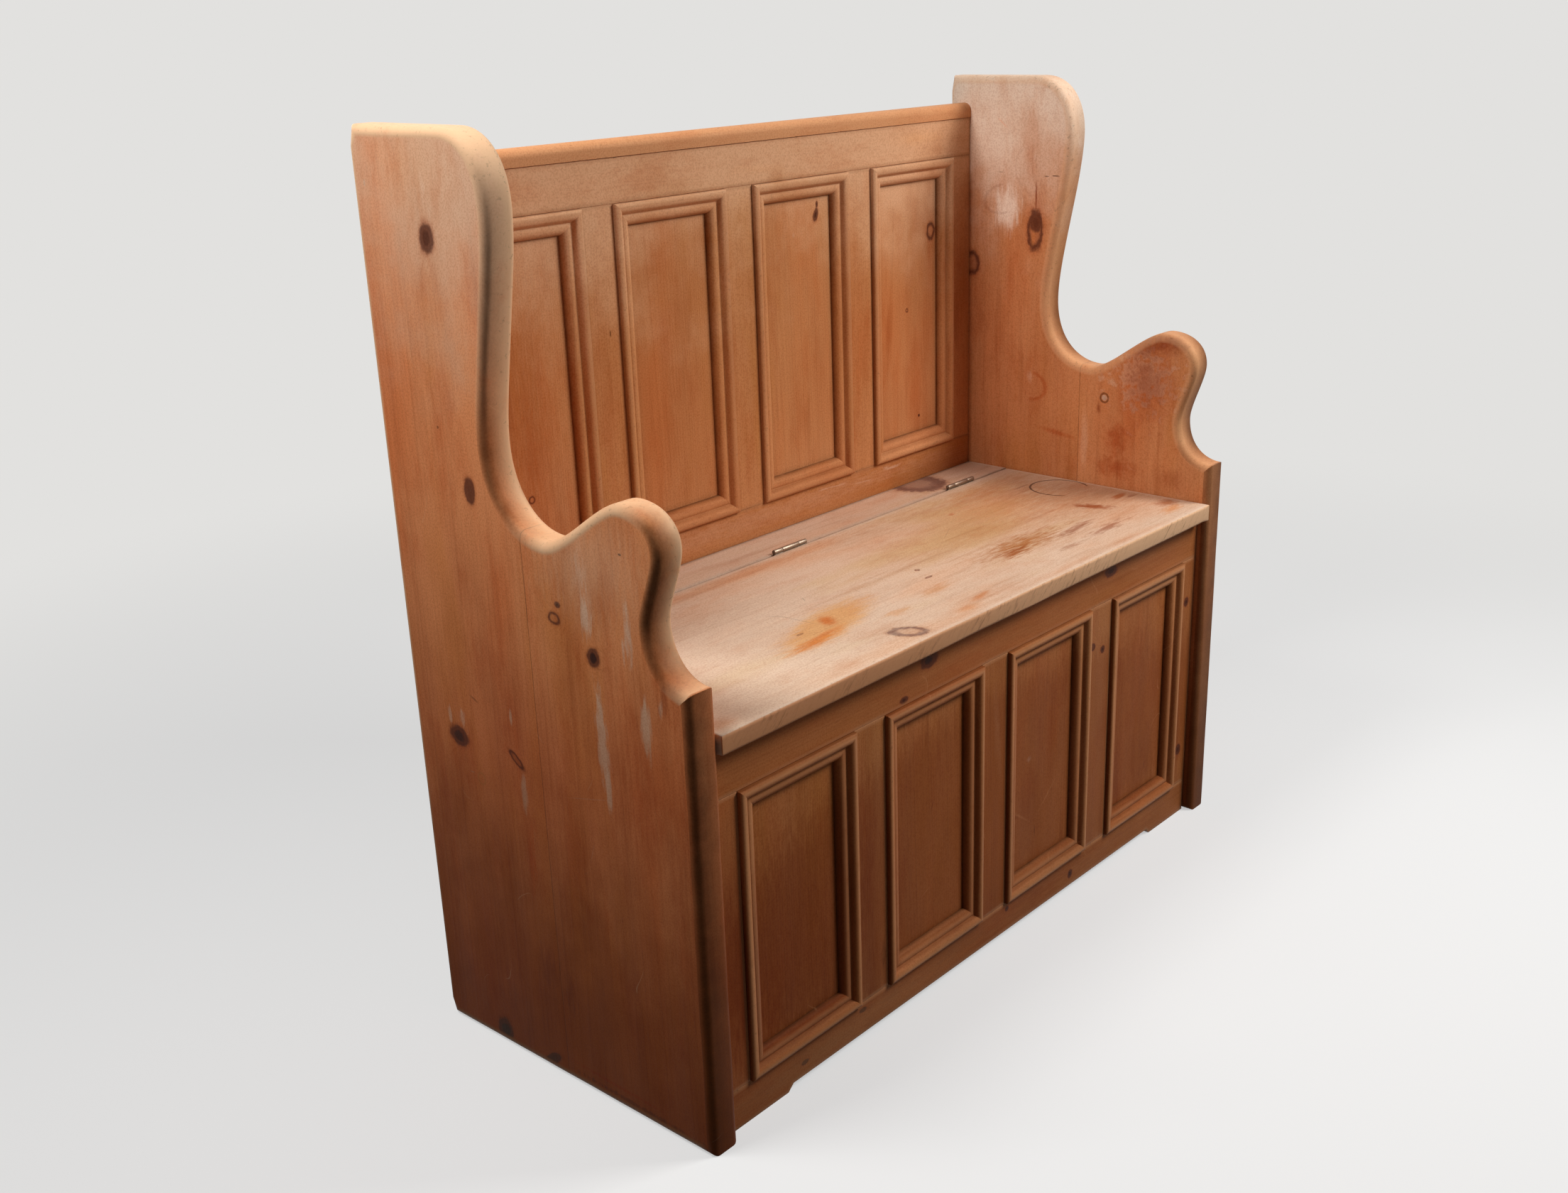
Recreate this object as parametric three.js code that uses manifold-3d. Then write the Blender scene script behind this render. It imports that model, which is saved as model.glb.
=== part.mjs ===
// Pine box settle: two scrolled ends, a panelled back and front, and a hinged lid over a storage box.
// Sizes are in millimetres. X runs across the bench, -Y is the front and +Z is up. The origin lies on
// the floor under the middle of the bench. Pieces are placed from the front edge of the ends, and
// the group that holds them is moved back to the origin at the end.
import * as THREE from "three";
import { mergeVertices } from "three/addons/utils/BufferGeometryUtils.js";
import Module from "manifold-3d";

const wasm = await Module();
wasm.setup();

// Overall sizes
const WIDTH = 1067;
const DEPTH = 445;
const HEIGHT = 1049;
const SEAT_HEIGHT = 479.5;

// Fits
const FIT = 0.3;
const OVERRUN = 12;

// Scrolled ends
const END_THICK = 39;
const EDGE_ROUND = 9;
const SHOULDER_RISE = 54;
const EDGE_STEPS = 3;
const SCROLL_STEPS = 9;

// Each turn of the scrolled edge, from the shoulder to the crown: shares of the depth and of the
// height between shoulder and crown, and the way the edge heads there.
const BACKWARD = [1, 0];
const UPWARD = [0, 1];
const SCROLL_TURN_SHARES = [
  { name: "shoulder", depth: 0, rise: 0, heading: BACKWARD },
  { name: "neck", depth: 0.117, rise: 0.108, heading: UPWARD },
  { name: "nose", depth: 0.069, rise: 0.258, heading: UPWARD },
  { name: "arm", depth: 0.188, rise: 0.342, heading: BACKWARD },
  { name: "scoop", depth: 0.447, rise: 0.228, heading: BACKWARD },
  { name: "elbow", depth: 0.62, rise: 0.396, heading: UPWARD },
  { name: "wing", depth: 0.536, rise: 0.852, heading: UPWARD },
  { name: "crown", depth: 0.679, rise: 1, heading: BACKWARD },
];
const BEND_HANDLE_SHARE = 0.6;
const SWEEP_HANDLE_SHARE = 0.25;

// Panelled frames, front and back
const FRAME_THICK = 22;
const PANEL_COUNT = 4;
const PANEL_THICK = 8;
const PANEL_RECESS = 9;
const GROOVE_DEPTH = 9;
const PANEL_MARGIN = 1;
const TENON_LENGTH = 24;
const TENON_SHOULDER = 6;

// Front frame
const FRONT_SETBACK = 15;
const FRONT_TOP_RAIL_HEIGHT = 56;
const FRONT_BOTTOM_RAIL_HEIGHT = 50;
const FRONT_STILE_WIDTH = 36.6;
const FRONT_MUNTIN_WIDTH = 53.6;
const TOE_RISE = 8;
const TOE_FOOT_LENGTH = 106;
const TOE_SLANT = 9;

// Back frame, its cap and the boards below it
const BACK_RECESS = 11;
const BACK_TOP_RAIL_HEIGHT = 52;
const BACK_BOTTOM_RAIL_HEIGHT = 90;
const BACK_SILL_RISE = 43.7;
const BACK_STILE_WIDTH = 44.6;
const BACK_MUNTIN_WIDTH = 50;
const CAP_DROP = 37;
const CAP_HEIGHT = 20;
const CAP_OVERHANG = 1.5;
const CAP_ROUND = 11;
const CAP_STEPS = 5;
const LOWER_BACK_THICK = 16;
const LOWER_BACK_COUNT = 3;
const LOWER_BACK_GAP = 10;
const TONGUE_LENGTH = 6;
const TONGUE_THICK = 5;

// Mouldings round the panels. The section gives shares of the width in from the outer edge and of
// the height above the panel: a proud outer bead, a hollow, and a smaller round at the panel.
const MOULDING_WIDTH = 28;
const MOULDING_PROUD = 6;
const MOULDING_SECTION_SHARES = [
  [0, 0],
  [0, 0.82],
  [0.04, 0.93],
  [0.13, 1],
  [0.25, 0.99],
  [0.36, 0.88],
  [0.44, 0.68],
  [0.5, 0.55],
  [0.56, 0.58],
  [0.68, 0.59],
  [0.8, 0.51],
  [0.91, 0.33],
  [0.98, 0.1],
  [1, 0],
];

// Seat lid, its cleats and the fixed strip behind it
const LID_THICK = 23;
const LID_PROUD = 3;
const LID_SIDE_GAP = 2;
const LID_ROUND = 4;
const LID_ROUND_STEPS = 4;
const STRIP_WIDTH = 69.3;
const LID_GAP = 2.4;
const GAP_EDGE_ROUND = 2.2;
const GAP_EDGE_STEPS = 3;
const CLEAT_WIDTH = 45;
const CLEAT_THICK = 20;
const CLEAT_INSET = 60;
const CLEAT_FRONT_CLEARANCE = 14;
const CLEAT_REAR_CLEARANCE = 22;

// Bearers and floor of the storage box
const BEARER_WIDTH = 22;
const BEARER_HEIGHT = 34;
const FLOOR_RISE = 34;
const FLOOR_THICK = 14;
const FLOOR_BOARD_COUNT = 3;
const FLOOR_BEARER_WIDTH = 24;
const FLOOR_BEARER_HEIGHT = 24;

// Butt hinges
const HINGE_LENGTH = 63;
const HINGE_INSET = 88;
const MIDDLE_HINGE_OFFSET = -4.5;
const KNUCKLE_RADIUS = 3.1;
const KNUCKLE_RISE = 3.4;
const BORE_RADIUS = 1.75;
const PIN_RADIUS = 1.5;
const LEAF_THICK = 1.6;
const LEAF_HALF_GAP = 0.3;
const LEAF_BOTTOM_INSET = 2.5;
const SCREW_RADIUS = 1.9;
const SCREW_LENGTH = 18;
const OUTER_KNUCKLE_SHARE = 0.25;
const SCREW_PLACE_SHARES = [0.17, 0.5, 0.83];
const ROUND_SIDES = 16;

// Places that follow from the sizes, measured from the front edge of the ends
const innerHalf = WIDTH / 2 - END_THICK;
const frameHalf = innerHalf - FIT;
const frontFace = FRONT_SETBACK;
const frontInside = frontFace + FRAME_THICK;
const backFace = DEPTH - BACK_RECESS - FRAME_THICK;
const lidUnder = SEAT_HEIGHT - LID_THICK;
const capTop = HEIGHT - CAP_DROP;
const hingeLine = backFace - FIT - STRIP_WIDTH - LID_GAP / 2;
const hingeHeight = SEAT_HEIGHT + KNUCKLE_RISE;
const grooveSpan = [PANEL_RECESS - FIT, PANEL_RECESS + PANEL_THICK + FIT];
const tenonSpan = [PANEL_RECESS, PANEL_RECESS + PANEL_THICK];

// Finishes
const agedPine = new THREE.MeshStandardMaterial({ color: 0xb06f3a, roughness: 0.5, metalness: 0 });
const seatPine = new THREE.MeshStandardMaterial({ color: 0xc8945f, roughness: 0.6, metalness: 0 });
const innerPine = new THREE.MeshStandardMaterial({ color: 0xc79a66, roughness: 0.75, metalness: 0 });
const hingeSteel = new THREE.MeshStandardMaterial({ color: 0x9b948c, roughness: 0.4, metalness: 1 });

// A closed three.js geometry as a manifold solid.
function solidFrom(geometry) {
  const plain = geometry.index ? geometry.toNonIndexed() : geometry.clone();
  plain.deleteAttribute("normal");
  plain.deleteAttribute("uv");
  const merged = mergeVertices(plain);
  return new wasm.Manifold(
    new wasm.Mesh({
      numProp: 3,
      vertProperties: merged.attributes.position.array,
      triVerts: new Uint32Array(merged.index.array),
    }),
  );
}

// A manifold solid as a named mesh of its own material.
function pieceFrom(name, solid, finish) {
  const { vertProperties, triVerts, numProp } = solid.getMesh();
  const count = vertProperties.length / numProp;
  const positions = new Float32Array(count * 3);
  for (let i = 0; i < count; i++) {
    positions.set(vertProperties.subarray(i * numProp, i * numProp + 3), i * 3);
  }
  const geometry = new THREE.BufferGeometry();
  geometry.setAttribute("position", new THREE.BufferAttribute(positions, 3));
  geometry.setIndex(new THREE.BufferAttribute(new Uint32Array(triVerts), 1));
  geometry.computeVertexNormals();
  const mesh = new THREE.Mesh(geometry, finish.clone());
  mesh.name = name;
  return mesh;
}

// A squared block that fills a span along each axis.
function block(spanX, spanY, spanZ) {
  const geometry = new THREE.BoxGeometry(
    spanX[1] - spanX[0],
    spanY[1] - spanY[0],
    spanZ[1] - spanZ[0],
  );
  geometry.translate(
    (spanX[0] + spanX[1]) / 2,
    (spanY[0] + spanY[1]) / 2,
    (spanZ[0] + spanZ[1]) / 2,
  );
  return solidFrom(geometry);
}

// A span of one length about a middle.
function spanAbout(middle, length) {
  return [middle - length / 2, middle + length / 2];
}

// An outline in depth and height, pushed along X from one place to another.
function runAcross(outline, spanX, edge = {}) {
  const geometry = new THREE.ExtrudeGeometry(outline, {
    depth: spanX[1] - spanX[0],
    bevelEnabled: false,
    ...edge,
  });
  const alongX = new THREE.Matrix4().makeBasis(
    new THREE.Vector3(0, 1, 0),
    new THREE.Vector3(0, 0, 1),
    new THREE.Vector3(1, 0, 0),
  );
  geometry.applyMatrix4(alongX);
  geometry.translate(spanX[0], 0, 0);
  return solidFrom(geometry);
}

// A round bar along X, by its radius and span, centred on the X axis.
function barAcross(radius, spanX) {
  const geometry = new THREE.CylinderGeometry(radius, radius, spanX[1] - spanX[0], ROUND_SIDES);
  geometry.rotateZ(Math.PI / 2);
  geometry.translate((spanX[0] + spanX[1]) / 2, 0, 0);
  return solidFrom(geometry);
}

// A round bar along Y, by its radius and span, through a point given across and up.
function barBack(radius, spanY, across, up) {
  const geometry = new THREE.CylinderGeometry(radius, radius, spanY[1] - spanY[0], ROUND_SIDES);
  geometry.translate(across, (spanY[0] + spanY[1]) / 2, up);
  return solidFrom(geometry);
}

// The turns of the scrolled edge as places in depth and height.
function scrollTurns() {
  const shoulder = SEAT_HEIGHT + SHOULDER_RISE;
  return SCROLL_TURN_SHARES.map((turn) => ({
    heading: turn.heading,
    place: [turn.depth * DEPTH, shoulder + turn.rise * (HEIGHT - shoulder)],
  }));
}

// The outline of an end: up the front edge, along the scroll, and past the back edge, where it is cut.
function endOutline() {
  const turns = scrollTurns();
  const outline = new THREE.Shape();
  outline.moveTo(0, 0);
  outline.lineTo(...turns[0].place);
  for (let i = 1; i < turns.length; i++) {
    const from = turns[i - 1];
    const to = turns[i];
    const share = from.heading === to.heading ? SWEEP_HANDLE_SHARE : BEND_HANDLE_SHARE;
    const reach = [Math.abs(to.place[0] - from.place[0]), Math.abs(to.place[1] - from.place[1])];
    const handles = [
      from.place.map((value, axis) => value + share * reach[axis] * from.heading[axis]),
      to.place.map((value, axis) => value - share * reach[axis] * to.heading[axis]),
    ];
    outline.bezierCurveTo(...handles[0], ...handles[1], ...to.place);
  }
  outline.lineTo(DEPTH + OVERRUN, HEIGHT);
  outline.lineTo(DEPTH + OVERRUN, 0);
  outline.closePath();
  return outline;
}

// One end: a thick board whose edges are rounded over, cut square at the back.
function scrolledEnd(name) {
  const round = Math.min(EDGE_ROUND, END_THICK / 2 - FIT);
  const rounded = runAcross(endOutline(), [round, END_THICK - round], {
    curveSegments: SCROLL_STEPS,
    bevelEnabled: true,
    bevelThickness: round,
    bevelSize: round,
    bevelOffset: -round,
    bevelSegments: EDGE_STEPS,
  });
  const kept = block([-OVERRUN, END_THICK + OVERRUN], [-OVERRUN, DEPTH], [-OVERRUN, HEIGHT + OVERRUN]);
  return pieceFrom(name, rounded.intersect(kept), agedPine);
}

// The panel openings of a frame: their width and the middle of each.
function openingsOf(frame) {
  const muntins = (PANEL_COUNT - 1) * frame.muntinWidth;
  const width = (2 * frameHalf - 2 * frame.stileWidth - muntins) / PANEL_COUNT;
  const middles = [];
  for (let i = 0; i < PANEL_COUNT; i++) {
    middles.push(-frameHalf + frame.stileWidth + width / 2 + i * (width + frame.muntinWidth));
  }
  return { width, middles };
}

// The uprights of a frame: where each stands, how wide it is and which of its sides are grooved.
function uprightsOf(frame) {
  const { width, middles } = openingsOf(frame);
  const stileMiddle = frameHalf - frame.stileWidth / 2;
  const uprights = [
    { name: "stile_left", middle: -stileMiddle, width: frame.stileWidth, left: false, right: true },
    { name: "stile_right", middle: stileMiddle, width: frame.stileWidth, left: true, right: false },
  ];
  for (let i = 1; i < PANEL_COUNT; i++) {
    const middle = middles[i - 1] + width / 2 + frame.muntinWidth / 2;
    uprights.push({ name: `muntin_${i}`, middle, width: frame.muntinWidth, left: true, right: true });
  }
  return uprights;
}

// The span of an upright's tenon, about the upright's own middle.
function tenonReach(upright) {
  const low = upright.left ? GROOVE_DEPTH : TENON_SHOULDER;
  const high = upright.right ? GROOVE_DEPTH : TENON_SHOULDER;
  return [low - upright.width / 2, upright.width / 2 - high];
}

// A stile or muntin between the rails, grooved for its panels, with a tenon at each end.
function uprightPiece(frame, upright) {
  const height = frame.openingTop - frame.openingBottom;
  const half = upright.width / 2;
  let body = block([-half, half], [0, FRAME_THICK], [FIT, height - FIT]);
  const pastEnds = [-OVERRUN, height + OVERRUN];
  if (upright.left) {
    body = body.subtract(block([-half - OVERRUN, GROOVE_DEPTH - half], grooveSpan, pastEnds));
  }
  if (upright.right) {
    body = body.subtract(block([half - GROOVE_DEPTH, half + OVERRUN], grooveSpan, pastEnds));
  }
  const tenon = block(tenonReach(upright), tenonSpan, [-TENON_LENGTH, height + TENON_LENGTH]);
  const piece = pieceFrom(`${frame.name}_${upright.name}`, body.add(tenon), agedPine);
  piece.position.set(upright.middle, frame.face, frame.openingBottom);
  return piece;
}

// The groove and mortises that a rail has along the edge at one height, cut towards up or down.
function railCuts(frame, edge, direction) {
  const reach = (depth) => [edge - direction * OVERRUN, edge + direction * depth].sort((a, b) => a - b);
  const pastEnds = [-frameHalf - OVERRUN, frameHalf + OVERRUN];
  let cuts = block(pastEnds, grooveSpan, reach(GROOVE_DEPTH));
  for (const upright of uprightsOf(frame)) {
    const [low, high] = tenonReach(upright);
    const across = [upright.middle + low - FIT, upright.middle + high + FIT];
    cuts = cuts.add(block(across, grooveSpan, reach(TENON_LENGTH + FIT)));
  }
  return cuts;
}

// The outline of the front bottom rail: its middle is raised between two feet with slanted ends.
function toeOutline() {
  const foot = innerHalf - TOE_FOOT_LENGTH;
  const outline = new THREE.Shape();
  outline.moveTo(-frameHalf, 0);
  outline.lineTo(-foot - TOE_SLANT, 0);
  outline.lineTo(-foot, TOE_RISE);
  outline.lineTo(foot, TOE_RISE);
  outline.lineTo(foot + TOE_SLANT, 0);
  outline.lineTo(frameHalf, 0);
  outline.lineTo(frameHalf, FRONT_BOTTOM_RAIL_HEIGHT);
  outline.lineTo(-frameHalf, FRONT_BOTTOM_RAIL_HEIGHT);
  outline.closePath();
  return outline;
}

// The rail's raised outline, pushed back from the frame's face.
function toeBlock() {
  const geometry = new THREE.ExtrudeGeometry(toeOutline(), { depth: FRAME_THICK, bevelEnabled: false });
  geometry.rotateX(Math.PI / 2);
  geometry.translate(0, FRAME_THICK, 0);
  return solidFrom(geometry);
}

// A rail across the whole frame, above or below the panels.
function railPiece(frame, name, body, edge, direction) {
  const rail = body.subtract(railCuts(frame, edge, direction));
  const piece = pieceFrom(`${frame.name}_${name}`, rail, agedPine);
  piece.position.set(0, frame.face, 0);
  return piece;
}

// A flat panel, held in the grooves with room to swell.
function panelPiece(frame, width, middle, number) {
  const hold = 2 * (GROOVE_DEPTH - PANEL_MARGIN);
  const height = frame.openingTop - frame.openingBottom;
  const panel = block(spanAbout(0, width + hold), [0, PANEL_THICK], spanAbout(0, height + hold));
  const piece = pieceFrom(`${frame.name}_panel_${number}`, panel, agedPine);
  const up = (frame.openingTop + frame.openingBottom) / 2;
  piece.position.set(middle, frame.face + PANEL_RECESS, up);
  return piece;
}

// A section carried round the four sides of a rectangle and mitred at the corners.
function mitredRing(width, height, section) {
  const corners = [
    [-1, -1],
    [1, -1],
    [1, 1],
    [-1, 1],
  ];
  const positions = [];
  for (const [sideX, sideZ] of corners) {
    for (const [inset, rise] of section) {
      positions.push(sideX * (width / 2 - inset), -rise, sideZ * (height / 2 - inset));
    }
  }
  const count = section.length;
  const index = [];
  for (let corner = 0; corner < corners.length; corner++) {
    const next = (corner + 1) % corners.length;
    for (let i = 0; i < count; i++) {
      const j = (i + 1) % count;
      const here = [corner * count + i, corner * count + j];
      const there = [next * count + i, next * count + j];
      index.push(here[0], there[0], there[1]);
      index.push(here[0], there[1], here[1]);
    }
  }
  const geometry = new THREE.BufferGeometry();
  geometry.setAttribute("position", new THREE.Float32BufferAttribute(positions, 3));
  geometry.setIndex(index);
  return solidFrom(geometry);
}

// The four mitred lengths of moulding that frame one panel, planted in the opening.
function mouldingPiece(frame, width, middle, number) {
  const tall = PANEL_RECESS + MOULDING_PROUD - FIT;
  const section = MOULDING_SECTION_SHARES.map(([inset, rise]) => [inset * MOULDING_WIDTH, rise * tall]);
  const height = frame.openingTop - frame.openingBottom;
  const ring = mitredRing(width - 2 * FIT, height - 2 * FIT, section);
  const piece = pieceFrom(`${frame.name}_moulding_${number}`, ring, agedPine);
  const up = (frame.openingTop + frame.openingBottom) / 2;
  piece.position.set(middle, frame.face + PANEL_RECESS - FIT, up);
  return piece;
}

// Stiles, muntins, panels and mouldings of a frame.
function panelledWork(frame) {
  const group = new THREE.Group();
  for (const upright of uprightsOf(frame)) {
    group.add(uprightPiece(frame, upright));
  }
  const { width, middles } = openingsOf(frame);
  middles.forEach((middle, i) => {
    group.add(panelPiece(frame, width, middle, i + 1));
    group.add(mouldingPiece(frame, width, middle, i + 1));
  });
  return group;
}

// The panelled front of the box, whose top rail lies under the lid.
function frontWork() {
  const railTop = lidUnder - FIT;
  const frame = {
    name: "front",
    face: frontFace,
    openingBottom: FRONT_BOTTOM_RAIL_HEIGHT,
    openingTop: railTop - FRONT_TOP_RAIL_HEIGHT,
    stileWidth: FRONT_STILE_WIDTH,
    muntinWidth: FRONT_MUNTIN_WIDTH,
  };
  const topRail = block([-frameHalf, frameHalf], [0, FRAME_THICK], [frame.openingTop, railTop]);
  const group = panelledWork(frame);
  group.add(railPiece(frame, "top_rail", topRail, frame.openingTop, 1));
  group.add(railPiece(frame, "bottom_rail", toeBlock(), frame.openingBottom, -1));
  return group;
}

// The back frame's sizes, which the cap and the lower boards follow too.
function backFrame() {
  const railTop = capTop - CAP_HEIGHT - FIT;
  return {
    name: "back",
    face: backFace,
    openingBottom: SEAT_HEIGHT + BACK_SILL_RISE,
    openingTop: railTop - BACK_TOP_RAIL_HEIGHT,
    stileWidth: BACK_STILE_WIDTH,
    muntinWidth: BACK_MUNTIN_WIDTH,
  };
}

// The panelled back above the seat.
function backWork() {
  const frame = backFrame();
  const across = [-frameHalf, frameHalf];
  const through = [0, FRAME_THICK];
  const topRail = block(across, through, [frame.openingTop, frame.openingTop + BACK_TOP_RAIL_HEIGHT]);
  const foot = frame.openingBottom - BACK_BOTTOM_RAIL_HEIGHT;
  const bottomRail = block(across, through, [foot, frame.openingBottom]);
  const group = panelledWork(frame);
  group.add(railPiece(frame, "top_rail", topRail, frame.openingTop, 1));
  group.add(railPiece(frame, "bottom_rail", bottomRail, frame.openingBottom, -1));
  group.add(capPiece());
  return group;
}

// The cap along the top of the back, rounded over at the front and the rear.
function capPiece() {
  const depth = FRAME_THICK + 2 * CAP_OVERHANG;
  const round = Math.min(CAP_ROUND, depth / 2 - FIT, CAP_HEIGHT - FIT);
  const outline = new THREE.Shape();
  outline.moveTo(0, 0);
  outline.lineTo(depth, 0);
  outline.lineTo(depth, CAP_HEIGHT - round);
  outline.absarc(depth - round, CAP_HEIGHT - round, round, 0, Math.PI / 2, false);
  outline.lineTo(round, CAP_HEIGHT);
  outline.absarc(round, CAP_HEIGHT - round, round, Math.PI / 2, Math.PI, false);
  outline.closePath();
  const cap = runAcross(outline, [-frameHalf, frameHalf], { curveSegments: CAP_STEPS });
  const piece = pieceFrom("back_cap_rail", cap, agedPine);
  piece.position.set(0, backFace - CAP_OVERHANG, capTop - CAP_HEIGHT);
  return piece;
}

// The tongued and grooved boards that close the box behind, below the back frame.
function lowerBack() {
  const group = new THREE.Group();
  const top = backFrame().openingBottom - BACK_BOTTOM_RAIL_HEIGHT - FIT;
  const pitch = (top - LOWER_BACK_GAP) / LOWER_BACK_COUNT;
  const across = [-frameHalf, frameHalf];
  const tongue = spanAbout(LOWER_BACK_THICK / 2, TONGUE_THICK);
  const slot = spanAbout(LOWER_BACK_THICK / 2, TONGUE_THICK + 2 * FIT);
  for (let i = 0; i < LOWER_BACK_COUNT; i++) {
    const height = pitch - FIT;
    let board = block(across, [0, LOWER_BACK_THICK], [0, height]);
    if (i > 0) {
      const pastEnds = [-frameHalf - OVERRUN, frameHalf + OVERRUN];
      board = board.subtract(block(pastEnds, slot, [-OVERRUN, TONGUE_LENGTH + FIT]));
    }
    if (i < LOWER_BACK_COUNT - 1) {
      board = board.add(block(across, tongue, [height - TONGUE_LENGTH, height + TONGUE_LENGTH]));
    }
    const piece = pieceFrom(`lower_back_board_${i + 1}`, board, innerPine);
    piece.position.set(0, backFace, LOWER_BACK_GAP + i * pitch);
    group.add(piece);
  }
  return group;
}

// The three butt hinges: the name of each and where its middle lies.
const hingeReach = innerHalf - HINGE_INSET - HINGE_LENGTH / 2;
const hinges = [
  { name: "left_hinge", middle: -hingeReach },
  { name: "middle_hinge", middle: MIDDLE_HINGE_OFFSET },
  { name: "right_hinge", middle: hingeReach },
];
const leafHeight = LID_THICK - LEAF_BOTTOM_INSET;

// The spans of a hinge's knuckles about its own middle, with a running gap between them.
function knuckleSpans() {
  const half = HINGE_LENGTH / 2;
  const inner = half - OUTER_KNUCKLE_SHARE * HINGE_LENGTH;
  return {
    outer: [
      [-half, -inner - FIT / 2],
      [inner + FIT / 2, half],
    ],
    middle: [[-inner + FIT / 2, inner - FIT / 2]],
  };
}

// One leaf with its knuckles and its three screws, about the hinge's own axis.
// The side is -1 for the lid's leaf, in front of the axis, and 1 for the fixed leaf behind it.
function leafPiece(name, side, spans) {
  const faces = [side * LEAF_HALF_GAP, side * (LEAF_HALF_GAP + LEAF_THICK)].sort((a, b) => a - b);
  const top = -KNUCKLE_RISE;
  let leaf = block(spanAbout(0, HINGE_LENGTH), faces, [top - leafHeight, top]);
  for (const span of spans) {
    leaf = leaf.add(block(span, faces, [top - LEAF_THICK, 0]));
    leaf = leaf.add(barAcross(KNUCKLE_RADIUS, span));
  }
  leaf = leaf.subtract(barAcross(BORE_RADIUS, spanAbout(0, HINGE_LENGTH + OVERRUN)));
  const headSide = side * (LEAF_HALF_GAP + LEAF_THICK / 2);
  const tipSide = side * (LEAF_HALF_GAP + LEAF_THICK + SCREW_LENGTH);
  const screwSpan = [headSide, tipSide].sort((a, b) => a - b);
  for (const share of SCREW_PLACE_SHARES) {
    const across = (share - SCREW_PLACE_SHARES[1]) * HINGE_LENGTH;
    leaf = leaf.add(barBack(SCREW_RADIUS, screwSpan, across, top - leafHeight / 2));
  }
  return pieceFrom(name, leaf, hingeSteel);
}

// The room that the leaves and screws of all the hinges need in the lid or in the strip.
// It is given about the hinge line and the seat's upper face.
function hingeRoom(side) {
  const deep = side * (LEAF_HALF_GAP + LEAF_THICK + FIT);
  const faces = [0, deep].sort((a, b) => a - b);
  const bottom = -leafHeight - FIT;
  const screwSpan = [0, deep + side * SCREW_LENGTH].sort((a, b) => a - b);
  let room = null;
  for (const { middle } of hinges) {
    const recess = block(spanAbout(middle, HINGE_LENGTH + 2 * FIT), faces, [bottom, OVERRUN]);
    room = room ? room.add(recess) : recess;
    for (const share of SCREW_PLACE_SHARES) {
      const across = middle + (share - SCREW_PLACE_SHARES[1]) * HINGE_LENGTH;
      room = room.add(barBack(SCREW_RADIUS + FIT, screwSpan, across, -leafHeight / 2));
    }
  }
  return room;
}

// The leaves and pin of each hinge.
function hingeWork() {
  const group = new THREE.Group();
  const spans = knuckleSpans();
  for (const { name, middle } of hinges) {
    const hinge = new THREE.Group();
    hinge.add(leafPiece(`${name}_lid_leaf`, -1, spans.middle));
    hinge.add(leafPiece(`${name}_fixed_leaf`, 1, spans.outer));
    hinge.add(pieceFrom(`${name}_pin`, barAcross(PIN_RADIUS, spanAbout(0, HINGE_LENGTH)), hingeSteel));
    hinge.position.set(middle, hingeLine, hingeHeight);
    group.add(hinge);
  }
  return group;
}

// A small round where the lid and the strip meet, added to an outline as plain steps.
function easedCorner(outline, centre, turn) {
  for (let i = 0; i <= GAP_EDGE_STEPS; i++) {
    const angle = turn[0] + ((turn[1] - turn[0]) * i) / GAP_EDGE_STEPS;
    const across = GAP_EDGE_ROUND * Math.cos(angle);
    const up = GAP_EDGE_ROUND * Math.sin(angle);
    outline.lineTo(centre[0] + across, centre[1] + up);
  }
}

// The lid: a wide board with its edges eased, let in for the hinges along its rear edge.
function lidPiece() {
  const rear = hingeLine - LID_GAP / 2;
  const round = Math.min(LID_ROUND, LID_THICK / 2 - FIT);
  const outline = new THREE.Shape();
  outline.moveTo(rear, -LID_THICK);
  easedCorner(outline, [rear - GAP_EDGE_ROUND, -GAP_EDGE_ROUND], [0, Math.PI / 2]);
  outline.lineTo(round - LID_PROUD, 0);
  outline.absarc(round - LID_PROUD, -round, round, Math.PI / 2, Math.PI, false);
  outline.absarc(round - LID_PROUD, round - LID_THICK, round, Math.PI, (3 * Math.PI) / 2, false);
  outline.closePath();
  const half = innerHalf - LID_SIDE_GAP;
  const board = runAcross(outline, [-half, half], { curveSegments: LID_ROUND_STEPS });
  const room = hingeRoom(-1).translate([0, hingeLine, 0]);
  const piece = pieceFrom("seat_lid", board.subtract(room), seatPine);
  piece.position.set(0, 0, SEAT_HEIGHT);
  return piece;
}

// The fixed strip between the lid and the back, which carries the hinges.
function stripPiece() {
  const front = LID_GAP / 2;
  const outline = new THREE.Shape();
  outline.moveTo(front, -LID_THICK);
  outline.lineTo(front + STRIP_WIDTH, -LID_THICK);
  outline.lineTo(front + STRIP_WIDTH, 0);
  easedCorner(outline, [front + GAP_EDGE_ROUND, -GAP_EDGE_ROUND], [Math.PI / 2, Math.PI]);
  outline.closePath();
  const board = runAcross(outline, [-frameHalf, frameHalf]);
  const piece = pieceFrom("hinge_strip", board.subtract(hingeRoom(1)), seatPine);
  piece.position.set(0, hingeLine, SEAT_HEIGHT);
  return piece;
}

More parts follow.
